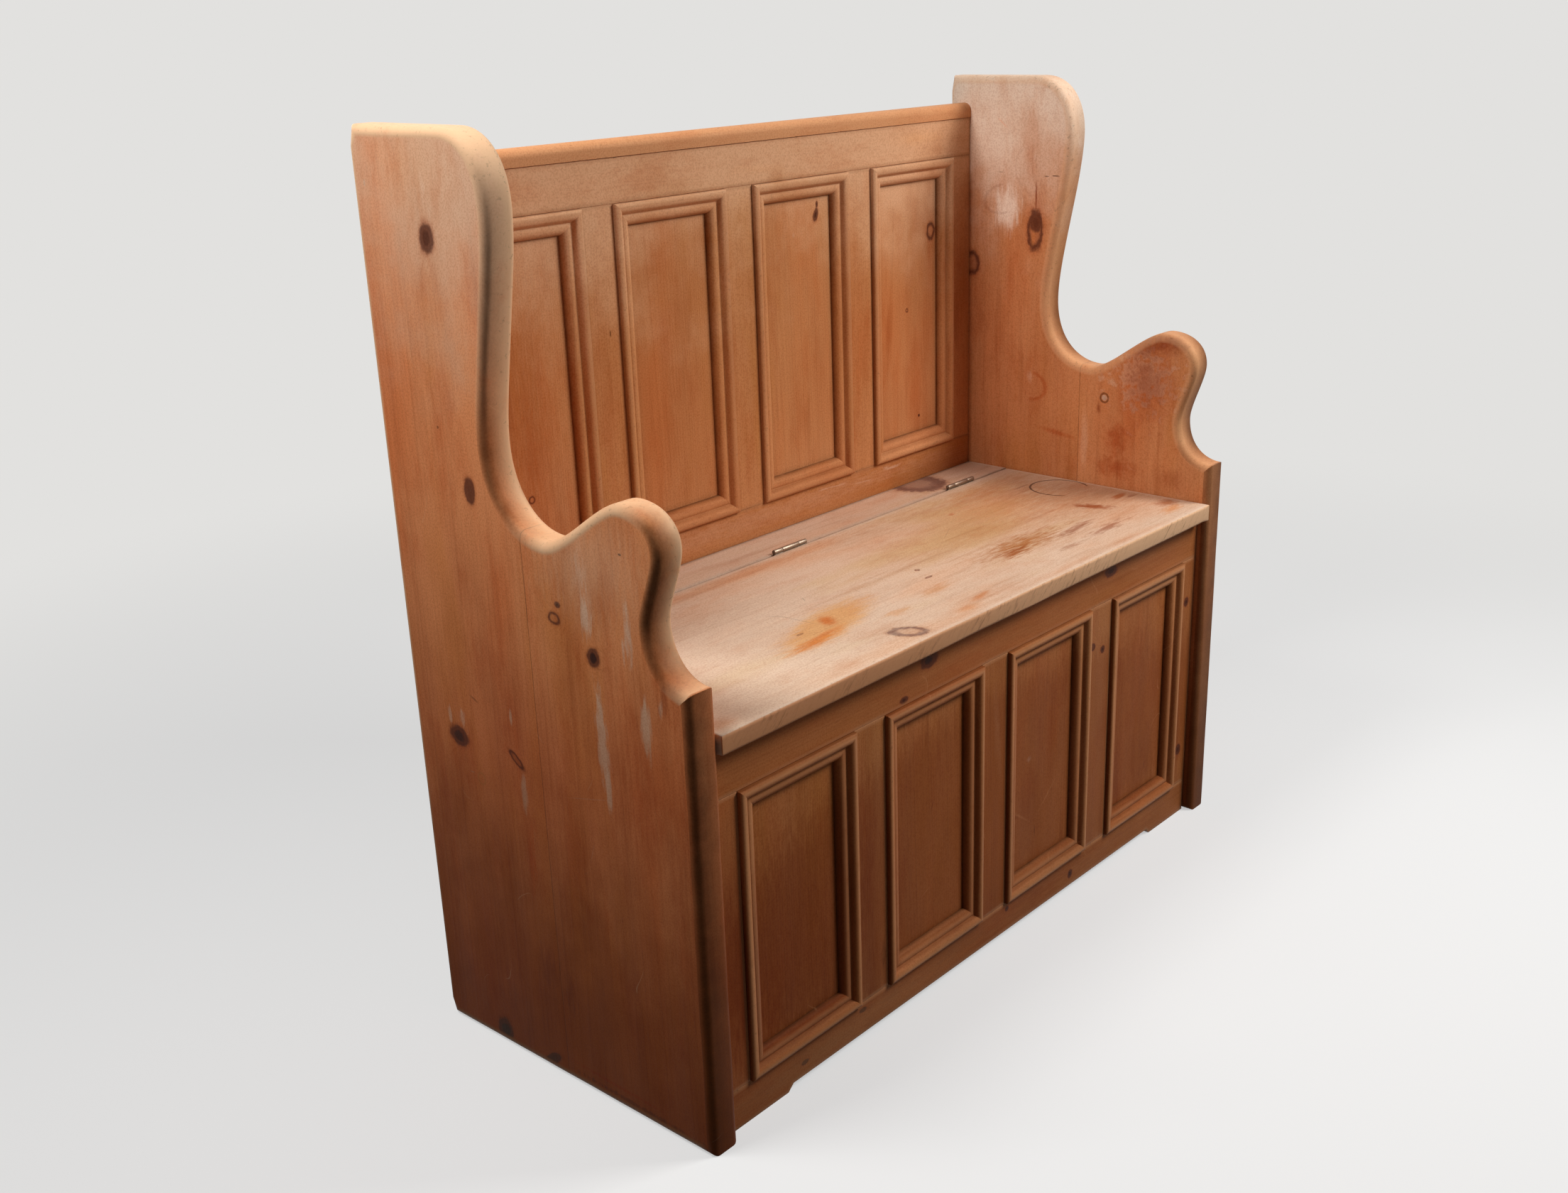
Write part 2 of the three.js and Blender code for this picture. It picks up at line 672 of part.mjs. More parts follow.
// The cleats across the underside of the lid, clear of the bearers and of the front frame.
function lidCleats() {
  const group = new THREE.Group();
  const depth = [frontInside + CLEAT_FRONT_CLEARANCE, hingeLine - CLEAT_REAR_CLEARANCE];
  const reach = innerHalf - BEARER_WIDTH - CLEAT_INSET - CLEAT_WIDTH / 2;
  for (const [name, side] of [["left", -1], ["right", 1]]) {
    const cleat = block(spanAbout(0, CLEAT_WIDTH), depth, [-CLEAT_THICK, 0]);
    const piece = pieceFrom(`lid_cleat_${name}`, cleat, innerPine);
    piece.position.set(side * reach, 0, lidUnder - FIT);
    group.add(piece);
  }
  return group;
}

// The bearers that carry the lid and the strip: one on each end, and one along the back.
function seatBearers() {
  const group = new THREE.Group();
  const depth = [frontInside + FIT, backFace - FIT];
  for (const [name, side] of [["left", -1], ["right", 1]]) {
    const bearer = block(spanAbout(0, BEARER_WIDTH), depth, [-BEARER_HEIGHT, 0]);
    const piece = pieceFrom(`seat_bearer_${name}`, bearer, innerPine);
    piece.position.set(side * (innerHalf - FIT - BEARER_WIDTH / 2), 0, lidUnder - FIT);
    group.add(piece);
  }
  const half = innerHalf - BEARER_WIDTH - 2 * FIT;
  const rear = block([-half, half], [-BEARER_WIDTH, 0], [-BEARER_HEIGHT, 0]);
  const piece = pieceFrom("strip_bearer", rear, innerPine);
  piece.position.set(0, backFace - FIT, lidUnder - FIT);
  group.add(piece);
  return group;
}

// The floor of the box: boards from end to end, on a bearer at each end and one in the middle.
function floorWork() {
  const group = new THREE.Group();
  const depth = [frontInside + FIT, backFace - FIT];
  const pitch = (depth[1] - depth[0] + FIT) / FLOOR_BOARD_COUNT;
  for (let i = 0; i < FLOOR_BOARD_COUNT; i++) {
    const board = block([-frameHalf, frameHalf], [0, pitch - FIT], [0, FLOOR_THICK]);
    const piece = pieceFrom(`floor_board_${i + 1}`, board, innerPine);
    piece.position.set(0, depth[0] + i * pitch, FLOOR_RISE);
    group.add(piece);
  }
  const reach = innerHalf - FIT - FLOOR_BEARER_WIDTH / 2;
  for (const [name, across] of [["left", -reach], ["middle", 0], ["right", reach]]) {
    const bearer = block(spanAbout(0, FLOOR_BEARER_WIDTH), depth, [-FLOOR_BEARER_HEIGHT, 0]);
    const piece = pieceFrom(`floor_bearer_${name}`, bearer, innerPine);
    piece.position.set(across, 0, FLOOR_RISE - FIT);
    group.add(piece);
  }
  return group;
}

// The two ends, standing on the floor at the sides.
function ends() {
  const group = new THREE.Group();
  const left = scrolledEnd("left_end");
  left.position.x = -WIDTH / 2;
  const right = scrolledEnd("right_end");
  right.position.x = innerHalf;
  group.add(left, right);
  return group;
}

const pieces = new THREE.Group();
pieces.add(ends());
pieces.add(backWork());
pieces.add(lowerBack());
pieces.add(frontWork());
pieces.add(floorWork());
pieces.add(seatBearers());
pieces.add(stripPiece());
pieces.add(lidPiece());
pieces.add(lidCleats());
pieces.add(hingeWork());
pieces.position.y = (LID_PROUD - DEPTH) / 2;

const bench = new THREE.Group();
bench.add(pieces);

export default bench;
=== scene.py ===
"""The looks of a pine box settle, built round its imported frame.

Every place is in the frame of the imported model: metres, +Z up, -Y the front, the floor at zero. Small
sizes are written in millimetres and turned to metres where a mesh or a material takes them.
"""

import logging
import math
import random
from dataclasses import dataclass, field, replace
from enum import Enum
from functools import reduce
from typing import Iterable, Optional, Sequence, Union

import bpy
import numpy as np
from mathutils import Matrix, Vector, noise


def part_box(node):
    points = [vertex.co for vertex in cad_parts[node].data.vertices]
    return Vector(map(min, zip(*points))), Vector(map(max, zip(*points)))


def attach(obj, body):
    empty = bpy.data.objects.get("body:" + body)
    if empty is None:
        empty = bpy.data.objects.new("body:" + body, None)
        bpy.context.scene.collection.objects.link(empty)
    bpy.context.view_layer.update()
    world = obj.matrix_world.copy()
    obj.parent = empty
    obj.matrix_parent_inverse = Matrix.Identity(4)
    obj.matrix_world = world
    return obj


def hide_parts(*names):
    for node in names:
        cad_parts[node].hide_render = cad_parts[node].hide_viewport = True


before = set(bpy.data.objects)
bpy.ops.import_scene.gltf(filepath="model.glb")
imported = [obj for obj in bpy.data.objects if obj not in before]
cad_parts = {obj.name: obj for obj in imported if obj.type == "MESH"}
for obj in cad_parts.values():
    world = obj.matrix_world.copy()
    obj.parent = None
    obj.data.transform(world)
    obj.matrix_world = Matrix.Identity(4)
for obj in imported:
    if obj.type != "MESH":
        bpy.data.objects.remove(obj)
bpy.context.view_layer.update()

log = logging.getLogger("settle")

MM = 0.001
FRONT_OF_ENDS = -221.0

Triple = tuple[float, float, float]
Pair = tuple[float, float]
Shade = tuple[int, int, int]
Colour = tuple[float, float, float, float]
Array = np.ndarray
Mesh = bpy.types.Mesh
Piece = bpy.types.Object
Material = bpy.types.Material
Tree = bpy.types.NodeTree
Node = bpy.types.Node
Socket = bpy.types.NodeSocket
Term = Union[float, tuple, Socket]
Faces = list[tuple[int, ...]]
Solid = tuple[Array, Faces, Array]


class Axis(Enum):
    """The three axes, by their place in a point."""

    X = 0
    Y = 1
    Z = 2

    @property
    def others(self) -> tuple[int, int]:
        """The places of the two axes that follow this one."""
        return (self.value + 1) % 3, (self.value + 2) % 3


class Body(Enum):
    """The two bodies of the bench."""

    CARCASS = "carcass"
    LID = "lid"


class Slot(Enum):
    """The record's material slots."""

    AGED_PINE = "aged_pine"
    SEAT_PINE = "seat_pine"
    INNER_PINE = "inner_pine"
    HINGE_STEEL = "hinge_steel"


class Face(Enum):
    """The way a face looks, by the place of its normal's axis. Marks are placed on a face."""

    SIDE = 0
    FRONT = 1
    TOP = 2


def linear(shade: Shade) -> Colour:
    """A display colour of 0 to 255 as the linear colour that a socket takes.

    Args:
        shade: red, green and blue.

    Returns:
        The linear colour with full alpha.
    """
    knee, slope, offset, power, full = 0.04045, 12.92, 0.055, 2.4, 255
    parts = [value / full for value in shade]
    light = [p / slope if p <= knee else ((p + offset) / (1 + offset)) ** power for p in parts]
    return (*light, 1.0)


def grey(level: float) -> Colour:
    """A linear grey with full alpha."""
    return (level, level, level, 1.0)


# Node trees


class Wiring:
    """Adds nodes to one tree and joins them, so that a tree is written as a sum of terms."""

    MIX_SOCKETS = {"FLOAT": (2, 3, 0), "RGBA": (6, 7, 2)}

    def __init__(self, tree: Tree) -> None:
        """Starts on a tree."""
        self.tree = tree

    def feed(self, socket: Socket, term: Term) -> None:
        """Links a socket to another, or sets its value.

        Args:
            socket: the input to feed.
            term: another socket, or a plain value.
        """
        if isinstance(term, Socket):
            self.tree.links.new(term, socket)
        else:
            socket.default_value = term

    def into(self, node: Node, **terms: Term) -> Node:
        """Feeds a node.

        Args:
            node: the node.
            terms: what feeds its inputs, by name with _ for a space.

        Returns:
            The node.
        """
        for name, term in terms.items():
            self.feed(node.inputs[name.replace("_", " ")], term)
        return node

    def add(self, kind: str, **terms: object) -> Node:
        """Adds a node.

        Args:
            kind: the node's type name.
            terms: its own settings, in small letters, and its inputs, which start with a capital.

        Returns:
            The new node.
        """
        node = self.tree.nodes.new(kind)
        for name in [name for name in terms if name[0].islower()]:
            setattr(node, name, terms.pop(name))
        return self.into(node, **terms)

    def out(self, kind: str, **terms: object) -> Socket:
        """The first output of a new node."""
        return self.add(kind, **terms).outputs[0]

    def use(self, tree: Tree, **terms: Term) -> Node:
        """Places a group and feeds it."""
        kind = "GeometryNodeGroup" if tree.bl_idname == "GeometryNodeTree" else "ShaderNodeGroup"
        return self.add(kind, node_tree=tree, **terms)

    def row(self, node: Node, terms: Iterable[Term]) -> Node:
        """Feeds a node's inputs in their order.

        Args:
            node: the node.
            terms: what feeds them.

        Returns:
            The node.
        """
        for socket, term in zip(node.inputs, terms):
            self.feed(socket, term)
        return node

    def math(self, operation: str, *terms: Term, clamp: bool = False) -> Socket:
        """A Math node on its terms."""
        return self.row(self.add("ShaderNodeMath", operation=operation, use_clamp=clamp), terms).outputs[0]

    def times(self, *terms: Term) -> Socket:
        """The product of its terms."""
        return reduce(lambda one, two: self.math("MULTIPLY", one, two), terms)

    def line(self, value: Term, slope: Term, start: Term, clamp: bool = False) -> Socket:
        """A value on a straight line: the value by the slope, and the start."""
        return self.math("MULTIPLY_ADD", value, slope, start, clamp=clamp)

    def vector(self, operation: str, *terms: Term) -> Socket:
        """A Vector Math node on its terms. LENGTH gives a value."""
        node = self.row(self.add("ShaderNodeVectorMath", operation=operation), terms)
        return node.outputs["Value" if operation == "LENGTH" else "Vector"]

    def scaled(self, term: Term, scales: Triple) -> Socket:
        """A vector stretched by three scales."""
        return self.vector("MULTIPLY", term, scales)

    def parts(self, term: Term) -> list[Socket]:
        """The three values of a vector."""
        return list(self.add("ShaderNodeSeparateXYZ", Vector=term).outputs)

    def combine(self, *terms: Term) -> Socket:
        """A vector of three values."""
        return self.row(self.add("ShaderNodeCombineXYZ"), terms).outputs[0]

    def noise(self, place: Term, scale: float = 1.0, detail: float = 2.0, rough: float = 0.5) -> Socket:
        """A Noise Texture's value, about 0.5 on the whole. Its scale is in repeats to a metre."""
        return self.out("ShaderNodeTexNoise", Vector=place, Scale=scale, Detail=detail, Roughness=rough)

    def noise_vector(self, place: Term, scale: float = 1.0, detail: float = 1.0) -> Socket:
        """A Noise Texture's three values, centred on zero."""
        node = self.add("ShaderNodeTexNoise", Vector=place, Scale=scale, Detail=detail)
        return self.vector("SUBTRACT", node.outputs["Color"], (0.5, 0.5, 0.5))

    def remap(self, value: Term, source: tuple[Term, Term], target: Pair = (0.0, 1.0)) -> Socket:
        """Carries a value smoothly from one range to another."""
        ends = dict(zip(("From_Min", "From_Max", "To_Min", "To_Max"), (*source, *target)))
        return self.out("ShaderNodeMapRange", interpolation_type="SMOOTHSTEP", Value=value, **ends)

    def ramp(self, value: Term, stops: Sequence[tuple[float, Colour]]) -> Node:
        """A Color Ramp.

        Args:
            value: where the ramp is read.
            stops: places and colours.

        Returns:
            The ramp's node.
        """
        node = self.add("ShaderNodeValToRGB", Fac=value)
        elements = node.color_ramp.elements
        while len(elements) < len(stops):
            elements.new(1.0)
        for element, (place, colour) in zip(elements, stops):
            element.position = place
            element.color = colour
        return node

    def mix(self, share: Term, first: Term, second: Term, kind: str = "RGBA", blend: str = "MIX") -> Socket:
        """A Mix node.

        Args:
            share: how much of the second.
            first: the first value.
            second: the second value.
            kind: the type of the values.
            blend: how colours are blended.

        Returns:
            The blend's socket.
        """
        node = self.add("ShaderNodeMix", data_type=kind, blend_type=blend)
        one, two, out = self.MIX_SOCKETS[kind]
        for index, term in ((0, share), (one, first), (two, second)):
            self.feed(node.inputs[index], term)
        return node.outputs[out]

    def tint(self, share: Term, colour: Term, shade: Shade) -> Socket:
        """A colour darkened by a share of a shade."""
        return self.mix(share, colour, linear(shade), blend="MULTIPLY")

    def attribute(self, name: str, output: str = "Fac") -> Socket:
        """An attribute of the mesh."""
        return self.add("ShaderNodeAttribute", attribute_name=name).outputs[output]

    def bump(self, height: Term, strength: float, distance: float) -> Socket:
        """The normal that a height gives, with its distance in metres."""
        return self.out("ShaderNodeBump", Strength=strength, Distance=distance, Height=height)


class Group(Wiring):
    """A node group with named inputs and outputs."""

    def __init__(self, name: str, kind: str = "ShaderNodeTree") -> None:
        """Starts an empty group of a name."""
        super().__init__(bpy.data.node_groups.new(name, kind))
        self.entry = self.add("NodeGroupInput")
        self.exit = self.add("NodeGroupOutput")

    def takes(self, kind: str, *names: str) -> list[Socket]:
        """Adds inputs.

        Args:
            kind: their type, such as Float or Vector.
            names: their names.

        Returns:
            The sockets inside the group that carry them.
        """
        for name in names:
            self.tree.interface.new_socket(name=name, in_out="INPUT", socket_type=f"NodeSocket{kind}")
        return [self.entry.outputs[name] for name in names]

    def gives(self, name: str, kind: str, term: Term) -> None:
        """Adds an output and feeds it."""
        self.tree.interface.new_socket(name=name, in_out="OUTPUT", socket_type=f"NodeSocket{kind}")
        self.feed(self.exit.inputs[name], term)

    def gives_painted(self, geometry: Socket, material: Socket) -> None:
        """Ends a geometry tree: its instances are made real and get their finish."""
        whole = self.out("GeometryNodeRealizeInstances", Geometry=geometry)
        painted = self.out("GeometryNodeSetMaterial", Geometry=whole, Material=material)
        self.gives("Geometry", "Geometry", painted)


def new_material(name: str) -> tuple[Material, Node]:
    """A new material.

    Args:
        name: its name.

    Returns:
        The material and its shader's node.
    """
    material = bpy.data.materials.new(name)
    material.use_nodes = True
    return material, material.node_tree.nodes["Principled BSDF"]


# Shared effects


class Effects:
    """The shader groups that the timber finishes share, each built once."""

    trees: dict[str, Tree] = {}

    @classmethod
    def get(cls, name: str) -> Tree:
        """A shared group, built on its first use."""
        if name not in cls.trees:
            cls.trees[name] = getattr(cls, name)()
        return cls.trees[name]

    @staticmethod
    def pine_grain() -> Tree:
        """Growth rings, bands, fibres and resin flecks, read along a board.

        Returns:
            The group's tree.
        """
        g = Group("pine_grain")
        [grain] = g.takes("Vector", "Grain")
        swell, ring_width = g.takes("Float", "Swell", "Ring Width")
        rings, bands, fibres = g.takes("Float", "Rings", "Bands", "Fibres")
        early, late = g.takes("Color", "Early", "Late")

        wander = g.noise_vector(g.scaled(grain, (1.1, 9, 9)), detail=2)
        bent = g.vector("ADD", grain, g.scaled(wander, (0, 0.016, 0.016)))
        radius = g.vector("LENGTH", g.scaled(bent, (0, 1, 1)))
        drift = g.times(g.parts(grain)[0], 0.012)
        phase = g.math("ADD", g.math("DIVIDE", g.math("ADD", radius, drift), ring_width), swell)
        stops = ((0, 0), (0.5, 0.12), (0.8, 0.7), (0.93, 1), (1, 0))
        ring = g.ramp(g.math("FRACT", phase), [(place, grey(level)) for place, level in stops]).outputs[0]
        age = g.add("ShaderNodeTexWhiteNoise", noise_dimensions="1D", W=g.math("FLOOR", phase))
        ring = g.times(ring, g.line(age.outputs["Value"], 0.75, 0.25))

        band = g.noise(g.scaled(bent, (1.6, 34, 34)), detail=4, rough=0.6)
        fibre = g.noise(g.scaled(grain, (9, 270, 270)), detail=4, rough=0.62)
        fleck = g.remap(g.noise(g.scaled(grain, (85, 1150, 1150)), detail=1), (0.68, 0.76))
        blotch = g.noise(g.scaled(grain, (4, 13, 13)), detail=4, rough=0.62)
        layers = ((band, 0.35, bands), (fibre, 0.5, fibres), (blotch, 0.5, g.times(bands, 1.7)))
        share = g.times(ring, rings)
        for layer, middle, weight in layers:
            share = g.math("ADD", share, g.times(g.math("SUBTRACT", layer, middle), weight))
        share = g.math("ADD", share, g.times(fleck, 0.3), clamp=True)

        colour = g.mix(share, early, late)
        hue = g.noise(g.scaled(grain, (2.2, 9, 9)), detail=3, rough=0.6)
        colour = g.tint(g.remap(hue, (0.5, 0.72), (0, 0.8)), colour, (255, 232, 214))
        colour = g.tint(g.remap(hue, (0.5, 0.3), (0, 0.7)), colour, (244, 238, 206))
        streak = g.noise(g.scaled(bent, (4.5, 62, 62)), detail=3, rough=0.6)
        colour = g.tint(g.remap(streak, (0.55, 0.75), (0, 0.4)), colour, (214, 186, 164))
        g.gives("Color", "Color", colour)
        g.gives("Height", "Float", g.math("SUBTRACT", g.line(fibre, 0.5, g.times(ring, 0.5)), fleck))
        return g.tree

    @staticmethod
    def mark(name: str) -> tuple[Group, Socket, Socket]:
        """Starts a group for a mark.

        Args:
            name: the group's name.

        Returns:
            The group, the place as a share of the mark's half sizes, and what frays its outline.
        """
        g = Group(name)
        place, where, turn, half = g.takes("Vector", "Place", "Where", "Turn", "Half")
        [ragged] = g.takes("Float", "Ragged")
        local = g.out("ShaderNodeMapping", vector_type="TEXTURE", Vector=place, Location=where, Rotation=turn,
                      Scale=half)
        return g, local, ragged

    @classmethod
    def knot(cls) -> Tree:
        """One knot, added to those before it: it bends the rings round it and darkens towards its heart.

        Returns:
            The group's tree.
        """
        g, local, ragged = cls.mark("knot")
        heart, push, swell, depth = g.takes("Float", "Heart", "Push", "Swell", "Depth")
        clean = g.vector("LENGTH", local)
        away = g.line(ragged, 0.6, clean)
        halo = g.remap(away, (1.7, 0.9), (0, 0.5))
        core = g.times(g.remap(away, (0.95, 0.4)), g.times(heart, 0.5))
        g.gives("Swell", "Float", g.line(g.remap(clean, (3.4, 0.4)), push, swell))
        g.gives("Depth", "Float", g.math("MAXIMUM", depth, g.math("ADD", halo, core)))
        return g.tree

    @classmethod
    def stain(cls) -> Tree:
        """One patch on the surface: a stain that tints what is below it, or a scuff that covers it.

        Returns:
            The group's tree.
        """
        g, local, ragged = cls.mark("stain")
        colour, tint = g.takes("Color", "Color", "Tint")
        soft, fray, hollow, opening = g.takes("Float", "Soft", "Fray", "Hollow", "Opening")
        strength, cover = g.takes("Float", "Strength", "Cover")
        away = g.vector("LENGTH", local)
        ringed = g.math("ABSOLUTE", g.math("SUBTRACT", away, 1))
        away = g.mix(g.math("GREATER_THAN", hollow, 0), away, g.math("DIVIDE", ringed, hollow), "FLOAT")
        mask = g.remap(g.line(ragged, fray, away), (1, g.math("SUBTRACT", 1, soft)))
        side = g.remap(g.parts(local)[1], (opening, g.math("ADD", opening, 0.25)))
        mask = g.times(mask, side, strength)
        laid = g.mix(cover, g.mix(1, colour, tint, blend="MULTIPLY"), tint)
        g.gives("Color", "Color", g.mix(mask, colour, laid))
        g.gives("Mask", "Float", mask)
        return g.tree

    @staticmethod
    def handling() -> Tree:
        """Wear, dirt, painted highlight and painted shade: light worn edges, partly painted highlight; darker
        corners and a darker bottom, partly dirt and partly painted shade; and small dents.

        Returns:
            The group's tree.
        """
        g = Group("handling")
        place, grain = g.takes("Vector", "Place", "Grain")
        colour, worn, dirt = g.takes("Color", "Color", "Worn", "Dirt")
        edge, grime, edge_wear, corner_dirt = g.takes("Float", "Edge", "Grime", "Edge Wear", "Corner Dirt")
        floor_dirt, floor_reach, floor_shade = g.takes("Float", "Floor Dirt", "Floor Reach", "Floor Shade")
        scratches, mottle = g.takes("Float", "Scratches", "Mottle")

        soft = g.noise(g.scaled(grain, (7, 21, 21)), detail=6, rough=0.68)
        colour = g.tint(g.times(g.remap(soft, (0.46, 0.7)), mottle), colour, (226, 184, 154))
        fine = g.remap(g.noise(place, scale=480, detail=2, rough=0.6), (0.4, 0.68), (0, 0.35))
        colour = g.tint(fine, colour, (206, 172, 148))
        patchy = g.noise(place, scale=38, detail=3, rough=0.6)
        # Light edges: partly wear, partly painted highlight.
        rubbed_and_lit = g.times(edge, g.remap(patchy, (0.12, 0.5), (0.35, 1)), edge_wear)
        colour = g.mix(rubbed_and_lit, colour, worn)
        nick = g.remap(g.noise(place, scale=150, detail=3, rough=0.75), (0.58, 0.7))
        colour = g.mix(g.times(nick, g.times(edge, 0.3)), colour, dirt)
        # Darker where the grime attribute is high: partly dirt, partly painted shade.
        caught = g.math("MULTIPLY", grime, g.line(patchy, 0.8, 0.6), clamp=True)
        colour = g.mix(g.times(caught, corner_dirt), colour, dirt)
        cloudy = g.noise(place, scale=9, detail=4, rough=0.6)
        # Darker towards the floor: the multiplied tint is painted shade, the dirt colour's share partly dirt
        # and partly painted shade.
        low = g.remap(g.math("ADD", g.parts(place)[2], g.line(cloudy, 0.3, -0.15)), (floor_reach, 0))
        colour = g.tint(g.times(low, floor_shade), colour, (166, 128, 88))
        colour = g.mix(g.times(g.math("POWER", low, 3), floor_dirt), colour, dirt)

        cells = g.add("ShaderNodeTexVoronoi", feature="F1", Vector=place, Scale=26)
        chance = g.add("ShaderNodeTexWhiteNoise", noise_dimensions="3D", Vector=cells.outputs["Position"])
        dent = g.remap(cells.outputs["Distance"], (0, 0.11), (-1, 0))
        dent = g.times(dent, g.math("GREATER_THAN", chance.outputs["Value"], 0.72))
        path = g.noise(g.scaled(place, (5, 8, 6)), detail=2, rough=0.4)
        hair = g.remap(g.math("ABSOLUTE", g.math("SUBTRACT", path, 0.5)), (0.003, 0.0005))
        hair = g.times(hair, g.remap(g.noise(place, scale=21, detail=1), (0.58, 0.66)))
        g.gives("Color", "Color", g.mix(g.times(hair, scratches), colour, worn))
        g.gives("Height", "Float", g.line(dent, 0.8, g.times(cloudy, 1.2)))
        g.gives("RubbedAndLit", "Float", rubbed_and_lit)
        return g.tree


# Marks on the timber


@dataclass(frozen=True)
class Mark:
    """A mark on a face: its place and its half sizes across the face and up it, in millimetres.

    On a side face across is the depth from the front of the ends, on a front face it is the distance
    from the middle, and on top of the seat up is the depth from the front of the ends. The tilt is in
    degrees, and deep is how far into the timber the mark reaches.
    """

    across: float
    up: float
    half: Pair
    tilt: float = field(default=0.0, kw_only=True)
    deep: float = field(default=12.0, kw_only=True)


@dataclass(frozen=True)
class Knot(Mark):
    """A knot, with how dark its heart is and how far it pushes the rings aside."""

    heart: float = 0.8
    push: float = 2.5


@dataclass(frozen=True)
class Stain(Mark):
    """A patch of another colour, which tints the timber or, the more it covers, hides it.

    A hollow one is a ring, and one with an opening is part of a ring. Soft is how far in its edge
    fades, and fray how ragged the edge is.
    """

    tint: Shade
    strength: float = 0.5
    soft: float = 0.6
    fray: float = 0.5
    cover: float = 0.0
    hollow: float = 0.0
    opening: float = -9.0
    mottled: bool = False


@dataclass(frozen=True)
class Marked:
    """Marks on one face, whose level is how far out along its normal it lies, in millimetres."""

    face: Face
    level: float
    knots: tuple[Knot, ...] = ()
    stains: tuple[Stain, ...] = ()

    def ellipse(self, mark: Mark) -> dict[str, Term]:
        """What a mark's group takes to find its place.

        Args:
            mark: the mark.

        Returns:
            Its middle, its turn about the normal and its half sizes, in the frame.
        """
        middle, half, turn = [mark.across, mark.up], [*mark.half], [0, 0]
        values = ((middle, self.level), (half, mark.deep), (turn, math.radians(mark.tilt)))
        for row, value in values:
            row.insert(self.face.value, value)
        if self.face is not Face.FRONT:
            middle[Axis.Y.value] += FRONT_OF_ENDS
        return {"Where": [v * MM for v in middle], "Turn": turn, "Half": [v * MM for v in half]}


# Finishes


@dataclass(frozen=True)
class PineFinish:
    """Old waxed pine. Contrasts are shares between the early and the late wood's colours."""

    name: str
    early: Shade = (214, 140, 88)
    late: Shade = (150, 82, 42)
    worn: Shade = (226, 170, 124)
    dirt: Shade = (72, 40, 22)
    knot_shades: tuple[tuple[float, Shade, float], ...] = (
        (0, (190, 104, 62), 0), (0.3, (168, 88, 54), 0.35), (0.44, (112, 60, 44), 0.75),
        (0.5, (92, 46, 36), 0.88), (0.7, (104, 54, 38), 0.9), (1, (60, 30, 24), 1),
    )
    ring_width: float = 3.6
    rings: float = 0.22
    bands: float = 0.5
    fibres: float = 0.3
    # Light edges: partly wear, partly painted highlight.
    edge_wear: float = 0.35
    corner_dirt: float = 0.75
    # Darkening towards the floor: painted shade, in part also dirt.
    floor_dirt: float = 0.0
    floor_reach: float = 0.5
    floor_shade: float = 0.0
    scratches: float = 0.14
    mottle: float = 0.35
    roughness: float = 0.5
    gloss: float = 0.08
    sheen: Triple = (1.0, 0.64, 0.36)
    # Lighter towards the top: partly a finish that has paled, partly painted light from above.
    faded_and_lit: Shade = (236, 202, 172)
    fade_and_light_span: Pair = (0.7, 1.1)
    fade_and_light_share: float = 0.0
    relief: float = 0.25
    joint_depth: Optional[float] = None
    edge_rough: Optional[float] = None
    marked: tuple[Marked, ...] = ()

    def material(self) -> Material:
        """The finish as a material.

        Returns:
            The new material.
        """
        material, shader = new_material(self.name)
        PineShading(material.node_tree, self).wire(shader)
        return material


